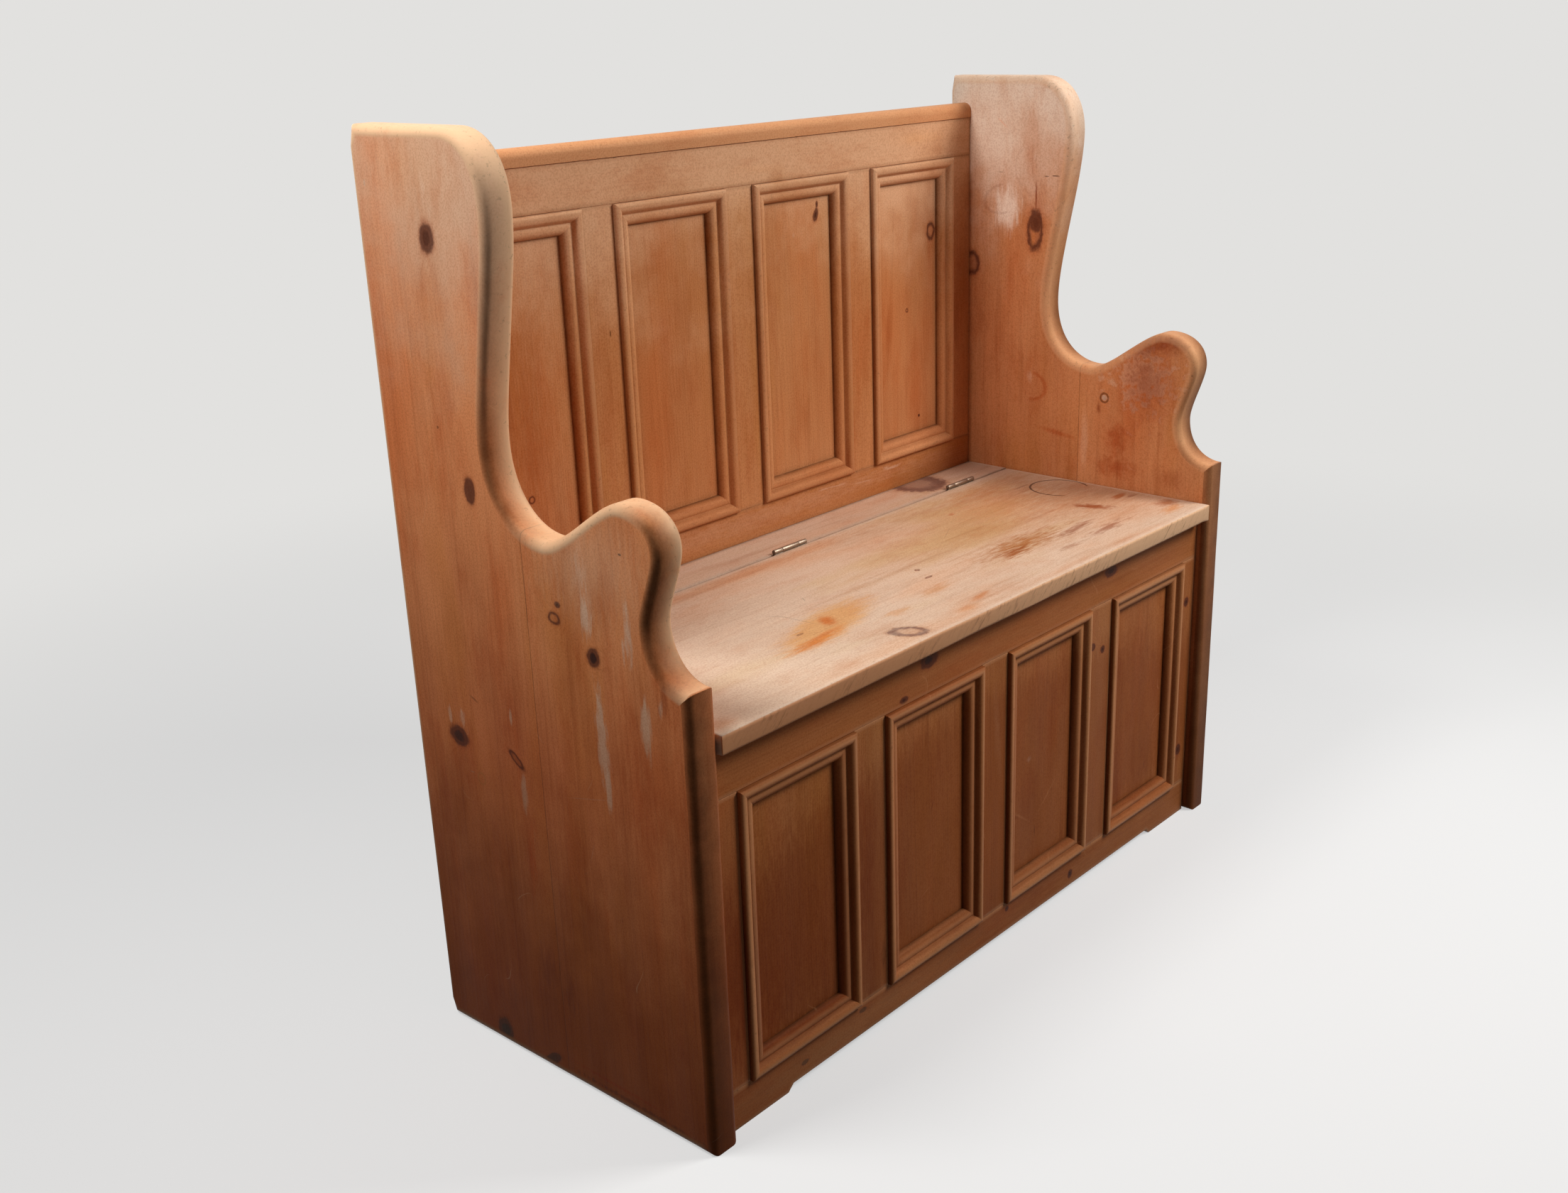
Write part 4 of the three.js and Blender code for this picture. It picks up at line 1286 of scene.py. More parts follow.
class Mouldings:
    """The mitred lengths of moulding round a panel, grown along the sides of its opening."""

    WIDTH = 28.0
    STAND = 14.7
    CURVE_STEPS = 3
    SHARP_ANGLE = 40.0
    SECTION_SHARES = (
        (0, 0), (0, 0.82), (0.04, 0.93), (0.13, 1), (0.25, 0.99), (0.36, 0.88), (0.44, 0.68),
        (0.5, 0.55), (0.56, 0.58), (0.68, 0.59), (0.8, 0.51), (0.91, 0.33), (0.98, 0.1), (1, 0),
    )

    def __init__(self) -> None:
        """Draws the section and builds the tree."""
        self.section = self.section_curve()
        self.tree = self.frame_tree(self.length_tree())

    def section_curve(self) -> Piece:
        """The section as an open curve: inset from the outer edge along X, height along Y.

        Returns:
            The curve's object.
        """
        first, *middle = self.SECTION_SHARES
        fine: list[Pair] = [first]
        padded = [middle[0], *middle, middle[-1]]
        for around in zip(padded, padded[1:], padded[2:], padded[3:]):
            for step in range(self.CURVE_STEPS):
                t = step / self.CURVE_STEPS
                fine.append(tuple(self.eased(t, *(point[k] for point in around)) for k in (0, 1)))
        fine.append(middle[-1])
        curve = bpy.data.curves.new("moulding_section", "CURVE")
        spline = curve.splines.new("POLY")
        spline.points.add(len(fine) - 1)
        for point, (across, rise) in zip(spline.points, fine):
            point.co = (across * self.WIDTH * MM, rise * self.STAND * MM, 0.0, 1.0)
        return bpy.data.objects.new("moulding_section", curve)

    @staticmethod
    def eased(t: float, before: float, start: float, end: float, after: float) -> float:
        """A smooth curve through four values, read between the middle two."""
        lean, fall = (end - before) / 2, (after - start) / 2
        return (start * (2 * t ** 3 - 3 * t ** 2 + 1) + lean * (t ** 3 - 2 * t ** 2 + t)
                + end * (3 * t ** 2 - 2 * t ** 3) + fall * (t ** 3 - t ** 2))

    @staticmethod
    def length_tree() -> Tree:
        """The tree of one length along X, with its ends cut to the mitre.

        Returns:
            The tree.
        """
        g = Group("mitred_length", "GeometryNodeTree")
        [section] = g.takes("Object", "Section")
        length, number = g.takes("Float", "Length", "Number")
        line = g.out("GeometryNodeCurvePrimitiveLine", End=(1.0, 0.0, 0.0))
        steps = g.out("GeometryNodeResampleCurve", Curve=line, Count=9)
        profile = g.add("GeometryNodeObjectInfo", Object=section).outputs["Geometry"]
        sweep = g.out("GeometryNodeCurveToMesh", Curve=steps, Profile_Curve=profile)
        along, side, rise = g.parts(g.out("GeometryNodeInputPosition"))
        inset_by, height = g.math("ABSOLUTE", side), g.math("ABSOLUTE", rise)
        run = g.math("SUBTRACT", length, g.times(inset_by, 2.0))
        spot = g.combine(g.line(along, run, inset_by), inset_by, height)
        cut = g.out("GeometryNodeSetPosition", Geometry=sweep, Position=spot)
        ahead, over, up = g.parts(g.out("GeometryNodeInputPosition"))
        heart = g.line(g.math("SINE", g.times(number, 2.3)), 0.05, 0.07)
        grain = g.combine(g.math("ADD", ahead, g.times(number, 0.77)), g.math("ADD", over, heart),
                          g.math("ADD", up, 0.04))
        tone = g.times(g.math("SINE", g.times(number, 5.1)), 0.5)
        for name, kind, value in (("grain", "FLOAT_VECTOR", grain), ("tone", "FLOAT", tone)):
            cut = g.out("GeometryNodeStoreNamedAttribute", data_type=kind, domain="POINT", Geometry=cut,
                        Name=name, Value=value)
        g.gives("Geometry", "Geometry", cut)
        return g.tree

    @staticmethod
    def frame_tree(length_tree: Tree) -> Tree:
        """The tree of the four lengths round an opening in the plane of X and Z, standing out to -Y.

        Args:
            length_tree: the tree of one length.

        Returns:
            The tree.
        """
        g = Group("moulding_frame", "GeometryNodeTree")
        [section] = g.takes("Object", "Section")
        width, height, number = g.takes("Float", "Width", "Height", "Number")
        [middle] = g.takes("Vector", "Middle")
        [finish] = g.takes("Material", "Finish")
        half_width, half_height = g.times(width, 0.5), g.times(height, 0.5)
        low, left = g.times(half_height, -1.0), g.times(half_width, -1.0)
        joined = g.add("GeometryNodeJoinGeometry")
        quarter = math.radians(90)
        sides = ((width, left, low), (height, half_width, low), (width, half_width, half_height),
                 (height, left, half_height))
        for turns, (length, across, up) in enumerate(sides):
            one = g.use(length_tree, Section=section, Length=length,
                        Number=g.math("ADD", number, float(turns)))
            stand = g.out("GeometryNodeTransform", Geometry=one.outputs[0], Rotation=(quarter, 0.0, 0.0))
            turned = g.out("GeometryNodeTransform", Geometry=stand, Rotation=(0.0, -quarter * turns, 0.0),
                           Translation=g.combine(across, 0.0, up))
            g.into(joined, Geometry=turned)
        moved = g.out("GeometryNodeTransform", Geometry=joined.outputs[0], Translation=middle)
        g.gives_painted(moved, finish)
        return g.tree

    def grow(self, node: str, number: int, material: Material) -> None:
        """Makes the moulding round one panel. Its crests are lighter, partly worn and partly painted
        highlight; its edges and its hollow are darker, partly dirt and partly painted shade.

        Args:
            node: the CAD node.
            number: sets its timber apart from the others'.
            material: its finish.
        """
        low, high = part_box(node)
        size = high - low
        middle = ((low.x + high.x) / 2, high.y, (low.z + high.z) / 2)
        piece = grown(f"{node}_lengths", self.tree, self.SHARP_ANGLE, Section=self.section, Width=size.x,
                      Height=size.z, Middle=middle, Number=float(number * 4), Finish=material)
        points = np.abs(np.array([vertex.co for vertex in piece.data.vertices]) - np.array(middle))
        share = np.minimum(size.x / 2 - points[:, 0], size.z / 2 - points[:, 2]) / (self.WIDTH * MM)
        # Crests lighter, partly wear and partly painted highlight; edges and hollow darker, partly dirt and
        # partly painted shade.
        worn = np.interp(share, [0, 0.05, 0.16, 0.3, 0.45, 0.6, 0.7, 0.85], [0, 0.2, 1, 0.2, 0, 0.5, 0.5, 0])
        caught = np.interp(share, [0, 0.03, 0.3, 0.47, 0.6, 0.8, 0.93, 1], [0.6, 0.2, 0, 0.25, 0, 0, 0.3, 1])
        store(piece.data, edge=worn, grime=caught)
        if sum(face.normal.y * face.area for face in piece.data.polygons) > 0:
            piece.data.flip_normals()
        place(piece, Body.CARCASS, Slot.AGED_PINE, node)


@dataclass
class PanelledFrame:
    """Rails, stiles, muntins, panels and mouldings of one frame. Sizes are in millimetres."""

    name: str
    finish: PineFinish
    seed: int
    arris: float = 0.7
    panel_arris: float = 0.5
    panel_hold: float = 8.0
    panel_count: int = 4
    toe_foot: float = 106.0
    toe_slant: float = 9.0
    toe_step: float = 60.0
    toe_rise: float = 8.0
    edge_dirt: float = 0.35
    calm: float = 0.5
    panel_calm: float = 0.35

    def build(self, mouldings: Mouldings) -> None:
        """Makes every piece of the frame.

        Args:
            mouldings: the maker of its mouldings.
        """
        self.material = self.finish.material()
        _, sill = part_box(f"{self.name}_bottom_rail")
        lintel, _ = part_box(f"{self.name}_top_rail")
        self.straight("top_rail", 1)
        if self.name == "front":
            self.toe_rail("bottom_rail", 2)
        else:
            self.straight("bottom_rail", 2)
        uprights = ["stile_left", "stile_right"] + [f"muntin_{i}" for i in range(1, self.panel_count)]
        for number, part in enumerate(uprights):
            self.straight(part, 10 + number, (sill.z, lintel.z))
        for number in range(1, self.panel_count + 1):
            self.panel(f"panel_{number}", 20 + number)
            mouldings.grow(f"{self.name}_moulding_{number}", self.seed * 7 + number, self.material)

    def timber(self, number: int, upright: bool, calm: float) -> Board:
        """The timber of the part of a number, with its grain upright or across the bench."""
        along, across = (Axis.Z, Axis.X) if upright else (Axis.X, Axis.Z)
        return Board.sawn(along, across, self.seed * 50 + number, calm)

    def fit(self, part: str, number: int, upright: bool, solid: Solid) -> None:
        """Fits a part whose edges wear and catch a little dirt.

        Args:
            part: its part of the node's name.
            number: sets its timber apart from the others'.
            upright: whether its grain is upright.
            solid: its solid.
        """
        points, faces, edge = solid
        board = self.timber(number, upright, self.calm)
        form = Form().take(points, faces, board, edge, edge * self.edge_dirt)
        form.fit(f"{self.name}_{part}", "board", self.material, Slot.AGED_PINE)

    def straight(self, part: str, number: int, span: Optional[Pair] = None) -> None:
        """A rail, or a stile or muntin between the rails.

        Args:
            part: its part of the node's name.
            number: sets its timber apart from the others'.
            span: the height of the rails' edges, for one that stands between them.
        """
        low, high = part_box(f"{self.name}_{part}")
        if span:
            low.z, high.z = span
        self.fit(part, number, span is not None, plank(low, high, self.arris * MM))

    def toe_rail(self, part: str, number: int) -> None:
        """The front's bottom rail, raised between two low feet.

        Args:
            part: its part of the node's name.
            number: sets its timber apart from the others'.
        """
        low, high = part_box(f"{self.name}_{part}")
        foot, slant, rise = self.toe_foot * MM, self.toe_slant * MM, self.toe_rise * MM
        left, right = low.x + foot, high.x - foot
        corners = [(low.x, 0.0), (left - slant, 0.0), (left, rise), (right, rise), (right + slant, 0.0),
                   (high.x, 0.0), (high.x, high.z), (low.x, high.z)]
        loop: list[Pair] = []
        for start, end in zip(corners, corners[1:] + corners[:1]):
            loop += even_steps(start, end, self.toe_step * MM)
        outline = np.array([(up, across) for across, up in reversed(loop)])
        rounds = np.full(len(outline), self.arris * MM)
        self.fit(part, number, False, slab(outline, rounds, (low.y, high.y), Axis.Y, 2, (5 * MM,)))

    def panel(self, part: str, number: int) -> None:
        """A flat panel, a hair into its grooves, darker along its mouldings.

        Args:
            part: its part of the node's name.
            number: sets its timber apart from the others'.
        """
        low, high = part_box(f"{self.name}_{part}")
        hold = Vector((1, 0, 1)) * ((self.panel_hold - 1) * MM)
        reach = (Mouldings.WIDTH + 9) * MM
        points, faces, edge = plank(low + hold, high - hold, self.panel_arris * MM, reach)
        caught = np.clip((edge * reach - 8 * MM) / (5 * MM), 0, 1)
        form = Form().take(points, faces, self.timber(number, True, self.panel_calm), 0.0, caught)
        form.fit(f"{self.name}_{part}", "board", self.material, Slot.AGED_PINE)


@dataclass
class BackCap:
    """The rounded rail along the top of the back. Sizes are in millimetres."""

    finish: PineFinish
    node: str = "back_cap_rail"
    round_by: float = 11.0
    arris: float = 0.5
    steps: int = 10
    crown_wear_and_highlight: float = 0.8

    def build(self) -> None:
        """Makes the cap."""
        low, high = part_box(self.node)
        round_by = self.round_by * MM
        corners: list[Pair] = [(low.y, low.z), (high.y, low.z)]
        for centre, first in ((high.y - round_by, 0.0), (low.y + round_by, math.pi / 2)):
            for step in range(self.steps + 1):
                angle = first + math.pi / 2 * step / self.steps
                rise = high.z - round_by + round_by * math.sin(angle)
                corners.append((centre + round_by * math.cos(angle), rise))
        rounds = np.full(len(corners), self.arris * MM)
        points, faces, _ = slab(np.array(corners), rounds, (low.x, high.x), Axis.X, 2, (1 * MM, 3 * MM))
        # The crown lightens towards its top: partly wear, partly painted highlight.
        crown = np.clip((points[:, 2] - low.z) / (high.z - low.z), 0, 1) ** 2
        board = Board(Axis.X, Axis.Y, (80.0, 50.0), 4.0, 0.3)
        form = Form().take(points, faces, board, crown * self.crown_wear_and_highlight)
        form.fit(self.node, "board", self.finish.material(), Slot.AGED_PINE)


# The seat


@dataclass
class Seat:
    """The lid, its cleats and the fixed strip behind it. Sizes are in millimetres."""

    finish: PineFinish
    inner: PineFinish
    hinges: Sequence[str]
    front_round: float = 4.0
    front_waver: float = 0.35
    gap_round: float = 2.2
    side_round: float = 1.3
    notch_round: float = 0.3
    notch_gap: float = 0.3
    notch_deep: float = 2.2
    pitch: float = 12.0
    cleat_round: float = 2.5
    edge_rows: Pair = (1.5, 7.0)
    gap_reach: float = 6.0
    gap_dirt: float = 0.4
    wall_reach: float = 5.0

    def notched(self, start: Pair, leaf: str) -> list[tuple[Pair, float]]:
        """The corners of the lid's or the strip's edge along the gap, without its end.

        Args:
            start: where the edge starts.
            leaf: the end of the names of the leaves that are let in.

        Returns:
            Each corner, and the radius of the edge that follows it.
        """
        gap, notch, margin = self.gap_round * MM, self.notch_round * MM, self.notch_gap * MM
        way = -1 if leaf == "lid_leaf" else 1
        corners = [(start, gap)]
        for hinge in self.hinges[::way]:
            pin_low, pin_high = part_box(f"{hinge}_pin")
            low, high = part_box(f"{hinge}_{leaf}")
            near, far = (low.x - margin, high.x + margin)[::way]
            deep = (pin_low.y + pin_high.y) / 2 + way * self.notch_deep * MM
            corners += [((near, start[1]), notch), ((near, deep), notch), ((far, deep), notch)]
            corners.append(((far, start[1]), gap))
        return corners

    def board_outline(self, low: Vector, high: Vector, leaf: str) -> tuple[Array, Array]:
        """The outline of the lid or the strip.

        Args:
            low: its lowest corner.
            high: its highest corner.
            leaf: the end of the names of the leaves that are let in.

        Returns:
            The outline, anticlockwise from above, and the radius at each corner.
        """
        front, side = self.front_round * MM, self.side_round * MM
        if leaf == "lid_leaf":
            corners = [((low.x, low.y), front), ((high.x, low.y), side)]
            corners += self.notched((high.x, high.y), leaf)
        else:
            corners = self.notched((low.x, low.y), leaf)
            corners += [((high.x, low.y), side), ((high.x, high.y), side * 0.5)]
        corners.append(((low.x, high.y), side))
        outline: list[Pair] = []
        rounds: list[float] = []
        for (start, round_by), (end, _) in zip(corners, corners[1:] + corners[:1]):
            waver = self.front_waver if round_by == front else 0
            for across, depth in even_steps(start, end, self.pitch * MM):
                outline.append((across, depth))
                rounds.append(round_by * (1 + waver * noise.noise(Vector((across * 9, depth * 9, 0)))))
        return np.array(outline), np.array(rounds)

    def board(self, node: str, leaf: str, board: Board, body: Body, material: Material) -> None:
        """The lid or the strip.

        Args:
            node: the CAD node.
            leaf: the end of the names of the leaves that are let in.
            board: the timber.
            body: what it rides on.
            material: its finish.
        """
        low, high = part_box(node)
        is_lid = body is Body.LID
        outline, rounds = self.board_outline(low, high, leaf)
        rows = tuple(row * MM for row in self.edge_rows)
        points, faces, edge = slab(outline, rounds, (low.z, high.z), Axis.Z, 5, rows)
        depth = points[:, 1]
        gap = high.y if is_lid else low.y
        caught = np.clip(1 - np.abs(depth - gap) / (self.gap_reach * MM), 0, 1) * self.gap_dirt
        if not is_lid:
            wall = np.clip(1 - (high.y - depth) / (self.wall_reach * MM), 0, 1)
            caught = np.maximum(caught, wall)
        form = Form().take(points, faces, board, edge * (1 - caught), caught)
        form.fit(node, "board", material, Slot.SEAT_PINE, body)

    def build(self) -> None:
        """Makes the lid, the strip and the cleats."""
        material = self.finish.material()
        inner = self.inner.material()
        lid = Board(Axis.X, Axis.Y, (25.0, 95.0), 0.4, 0.0)
        strip = Board(Axis.X, Axis.Y, (110.0, 40.0), 5.2, -0.5)
        self.board("seat_lid", "lid_leaf", lid, Body.LID, material)
        self.board("hinge_strip", "fixed_leaf", strip, Body.CARCASS, material)
        for number, side in enumerate(("left", "right")):
            node = f"lid_cleat_{side}"
            points, faces, edge = plank(*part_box(node), self.cleat_round * MM)
            form = Form().take(points, faces, Board.sawn(Axis.Y, Axis.X, 400 + number), edge)
            form.fit(node, "board", inner, Slot.INNER_PINE, Body.LID)


# Inside and behind


@dataclass
class BoxInside:
    """The floor, the bearers and the boards behind the box, each a plain sawn board."""

    finish: PineFinish
    arris: float = 1.0
    tongue_height: float = 6.0
    tongue_root: float = 2.0
    tongue_round: float = 0.3
    tongue: Pair = (5.5, 10.5)

    def build(self) -> None:
        """Makes every board."""
        self.material = self.finish.material()
        for number in range(3):
            self.plain(f"floor_board_{number + 1}", Board.sawn(Axis.X, Axis.Y, 500 + number))
        self.plain("strip_bearer", Board.sawn(Axis.X, Axis.Z, 510))
        deep = ("seat_bearer_left", "seat_bearer_right", "floor_bearer_left", "floor_bearer_middle",
                "floor_bearer_right")
        for number, node in enumerate(deep):
            self.plain(node, Board.sawn(Axis.Y, Axis.X, 520 + number))
        for number in range(1, 4):
            self.tongued(f"lower_back_board_{number}", number)

    def plain(self, node: str, board: Board) -> None:
        """A squared board."""
        points, faces, edge = plank(*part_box(node), self.arris * MM)
        Form().take(points, faces, board, edge).fit(node, "sawn", self.material, Slot.INNER_PINE)

    def tongued(self, node: str, number: int) -> None:
        """A board of the lower back, with a tongue on its upper edge except on the last.

        Args:
            node: the CAD node.
            number: its place from below.
        """
        low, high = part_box(node)
        board = Board.sawn(Axis.X, Axis.Z, 540 + number)
        form = Form()
        top = high.copy()
        if number < 3:
            top.z -= self.tongue_height * MM
            near, far = (low.y + value * MM for value in self.tongue)
            points, faces, _ = plank((low.x, near, top.z - self.tongue_root * MM), (high.x, far, high.z),
                                     self.tongue_round * MM)
            form.take(points, faces, board)
        points, faces, edge = plank(low, top, self.arris * MM)
        form.take(points, faces, board, edge, edge).fit(node, "sawn", self.material, Slot.INNER_PINE)


# Hinges


@dataclass
class ButtHinge:
    """One butt hinge: two leaves with their knuckles, a pin, and slotted screws. In millimetres."""

    name: str
    material: Material
    screw_tree: Tree
    knuckle_radius: float = 3.1
    bore_radius: float = 1.75
    pin_radius: float = 1.6
    pin_dome: float = 0.5
    ease: float = 0.4
    leaf_thick: float = 1.6
    leaf_round: float = 0.35
    web_round: float = 0.3
    web_root: float = 1.0
    half_gap: float = 0.3
    knuckle_gap: float = 0.3
    outer_share: float = 0.25
    screw_radius: float = 2.6
    screw_count: int = 3
    screw_span: Pair = (0.17, 0.83)

    def build(self) -> None:
        """Makes both leaves and the pin."""
        low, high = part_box(f"{self.name}_pin")
        axis = tuple((one + two) / 2 for one, two in zip(low, high))
        self.length = high.x - low.x
        half = self.length / 2
        inner = half - self.outer_share * self.length
        gap = self.knuckle_gap * MM / 2
        self.leaf("lid_leaf", -1, axis, [(-inner + gap, inner - gap)], Body.LID)
        self.leaf("fixed_leaf", 1, axis, [(-half, -inner - gap), (inner + gap, half)], Body.CARCASS)
        radius, dome = self.pin_radius * MM, self.pin_dome * MM
        profile = [(half, 0.0), (half, radius - dome), (half - dome, radius), (-half + dome, radius),
                   (-half, radius - dome), (-half, 0.0)]
        pin = Form().take(*lathe(profile, axis, 32), grime=0.9).build(f"{self.name}_rod", self.material)
        place(pin, Body.CARCASS, Slot.HINGE_STEEL, f"{self.name}_pin")

    def knuckle(self, form: Form, axis: Triple, span: Pair) -> None:
        """Adds one knuckle to a leaf's form.

        Args:
            form: the leaf's form.
            axis: the middle of the hinge's axis.
            span: where the knuckle starts and ends along it.
        """
        start, end = span
        outer, bore, ease = self.knuckle_radius * MM, self.bore_radius * MM, self.ease * MM
        near = ease * 0.3
        profile = [(end, bore), (end, outer - ease), (end - near, outer - near), (end - ease, outer),
                   (start + ease, outer), (start + near, outer - near), (start, outer - ease), (start, bore)]
        points, faces = lathe(profile, axis, 40)
        ends = np.minimum(points[:, 0] - axis[0] - start, axis[0] + end - points[:, 0])
        form.take(points, faces, grime=np.clip(1 - ends / (0.5 * MM), 0, 1))

    def leaf(self, part: str, side: int, axis: Triple, spans: list[Pair], body: Body) -> None:
        """Makes a leaf with its knuckles, and its screws' heads, which show in the open gap.

        Args:
            part: the end of the node's name.
            side: -1 for the lid's leaf in front of the axis, 1 for the one behind.
            axis: the middle of the hinge's axis.
            spans: where its knuckles lie along it.
            body: what it rides on.
        """
        node = f"{self.name}_{part}"
        low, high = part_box(node)
        inner_face = axis[1] + side * self.half_gap * MM
        near, far = sorted((inner_face, axis[1] + side * (self.half_gap + self.leaf_thick) * MM))
        rise = axis[2] - self.knuckle_radius * MM
        form = Form()
        points, faces, _ = plank((low.x, near, low.z), (high.x, far, rise), self.leaf_round * MM)
        form.take(points, faces, grime=0.3)
        for span in spans:
            start, end = axis[0] + span[0], axis[0] + span[1]
            points, faces, _ = plank((start, near, rise - self.web_root * MM), (end, far, axis[2]),
                                     self.web_round * MM)
            form.take(points, faces, grime=0.5)
            self.knuckle(form, axis, span)
        form.fit(node, "worn", self.material, Slot.HINGE_STEEL, body)

        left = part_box(f"{self.name}_pin")[0].x
        first, last = (left + share * self.length for share in self.screw_span)
        up = (low.z + rise) / 2
        heads = grown(f"{node}_screws", self.screw_tree, 30.0, Start=(first, inner_face, up),
                      End=(last, inner_face, up), Count=self.screw_count, Radius=self.screw_radius * MM,
                      Turn=(math.radians(90 * side), 0.0, 0.0), Seed=len(self.name) + side,
                      Finish=self.material)
        place(heads, body, Slot.HINGE_STEEL)


def screw_row_tree() -> Tree:
    """The tree of a row of slotted screw heads, each turned its own way.

    Returns:
        The tree.
    """
    g = Group("screw_row", "GeometryNodeTree")
    start, end, turn = g.takes("Vector", "Start", "End", "Turn")
    count, seed = g.takes("Int", "Count", "Seed")
    [radius] = g.takes("Float", "Radius")
    [finish] = g.takes("Material", "Finish")
    disc = g.out("GeometryNodeMeshCone", Vertices=20, Radius_Top=g.times(radius, 0.92), Radius_Bottom=radius,
                 Depth=0.25 * MM)
    bar_size = g.combine(g.times(radius, 3.0), g.times(radius, 0.26), 0.5 * MM)
    bar = g.out("GeometryNodeTransform", Geometry=g.out("GeometryNodeMeshCube", Size=bar_size),
                Translation=(0.0, 0.0, 0.35 * MM))
    head = g.out("GeometryNodeMeshBoolean", operation="DIFFERENCE", solver="EXACT", Mesh_1=disc, Mesh_2=bar)
    line = g.out("GeometryNodeMeshLine", mode="END_POINTS", Count=count, Start_Location=start, Offset=end)
    copies = g.out("GeometryNodeInstanceOnPoints", Points=line, Instance=head)
    turned = g.out("GeometryNodeRotateInstances", Instances=copies, Rotation=turn)
    spin = g.add("FunctionNodeRandomValue", data_type="FLOAT", Max=math.pi, Seed=seed).outputs["Value"]
    spun = g.out("GeometryNodeRotateInstances", Instances=turned, Rotation=g.combine(0.0, 0.0, spin))
    g.gives_painted(spun, finish)
    return g.tree


# Floor, lamps and camera


@dataclass
class Lamp:
    """A soft square lamp, with its place, the point that it faces and its width in metres."""

    name: str
    stands: Triple
    aims: Triple
    size: float
    power: float
    colour: Triple = (1.0, 0.985, 0.96)

    def build(self) -> None:
        """Hangs the lamp."""
        light = bpy.data.lights.new(self.name, "AREA")
        light.shape = "SQUARE"
        light.size, light.energy, light.color = self.size, self.power, self.colour
        lamp = linked(self.name, light)
        lamp.location = self.stands
        direction = Vector(self.aims) - Vector(self.stands)
        lamp.rotation_euler = direction.to_track_quat("-Z", "Y").to_euler()


@dataclass
class Studio:
    """The pale floor and surroundings, the lamps, and the camera of the photograph."""

    floor_half: float = 9.0
    floor_lit: float = 0.42
    floor_glow: float = 0.5
    floor_bounce: float = 0.1
    backdrop: Shade = (226, 225, 223)
    fade: Pair = (0.9, 2.6)
    fill: float = 0.06
    camera_stands: Triple = (-1.5436, -1.2747, 1.1458)
    camera_turns: Triple = (69.647, 1.569, -49.239)
    lens: float = 37.99
    sensor: float = 36.0
    shift: Pair = (-0.0199, 0.0164)
    lamps: tuple[Lamp, ...] = (
        Lamp("key", (1.25, -1.35, 2.0), (0.0, 0.0, 0.6), 0.9, 40.0),
        Lamp("side", (-1.2, 0.3, 2.2), (-0.1, 0.0, 0.8), 0.7, 28.0),
    )

    def build(self) -> None:
        """Sets up floor, world, lamps and camera."""
        scene = bpy.context.scene
        scene.view_settings.view_transform = "Standard"
        self.floor()
        self.world(scene)
        for lamp in self.lamps:
            lamp.build()
        self.camera(scene)

    @staticmethod
    def seen_straight(w: Wiring) -> Socket:
        """Whether a ray comes from the camera, straight or by gloss or glass."""
        path = w.add("ShaderNodeLightPath")
        seen = w.math("MAXIMUM", path.outputs["Is Camera Ray"], path.outputs["Is Glossy Ray"])
        return w.math("MAXIMUM", seen, path.outputs["Is Transmission Ray"])

    def floor(self) -> None:
        """Lays the floor, pale to the eye and dull to the light that it throws back."""
        signs = ((-1, -1), (1, -1), (1, 1), (-1, 1))
        mesh = bpy.data.meshes.new("floor")
        corners = [(x * self.floor_half, y * self.floor_half, 0) for x, y in signs]
        mesh.from_pydata(corners, [], [(0, 1, 2, 3)])
        material, shader = new_material("studio_floor")
        w = Wiring(material.node_tree)
        straight = self.seen_straight(w)
        far = w.remap(w.vector("LENGTH", w.add("ShaderNodeTexCoord").outputs["Object"]), self.fade)
        seen = w.mix(far, grey(self.floor_lit), grey(0.0))
        w.into(shader, Base_Color=w.mix(straight, grey(self.floor_bounce), seen),
               Emission_Color=w.mix(far, grey(self.floor_glow), linear(self.backdrop)),
               Emission_Strength=straight, Roughness=0.9, Specular_IOR_Level=0.0)
        mesh.materials.append(material)
        linked("floor", mesh)

    def world(self, scene: bpy.types.Scene) -> None:
        """Surrounds the bench with white that fills its shadows a little.

        Args:
            scene: the scene.
        """
        world = bpy.data.worlds.new("studio")
        world.use_nodes = True
        w = Wiring(world.node_tree)
        colour = w.mix(self.seen_straight(w), grey(self.fill), linear(self.backdrop))
        w.into(world.node_tree.nodes["Background"], Color=colour)
        scene.world = world

    def camera(self, scene: bpy.types.Scene) -> None:
        """Sets the camera at the photograph's viewing angle.

        Args:
            scene: the scene.
        """
        data = bpy.data.cameras.new("camera")
        data.lens = self.lens
        data.sensor_width = self.sensor
        data.sensor_fit = "HORIZONTAL"
        data.shift_x, data.shift_y = self.shift
        scene.camera = linked("camera", data)
        scene.camera.location = self.camera_stands
        scene.camera.rotation_euler = [math.radians(turn) for turn in self.camera_turns]


# The marks of this bench

PALE: Shade = (232, 196, 170)
DRIP: Shade = (255, 220, 192)
BLUSH: Shade = (255, 186, 120)
BROWN: Shade = (170, 106, 72)
PLUM: Shade = (150, 104, 104)
SOOT: Shade = (70, 40, 30)

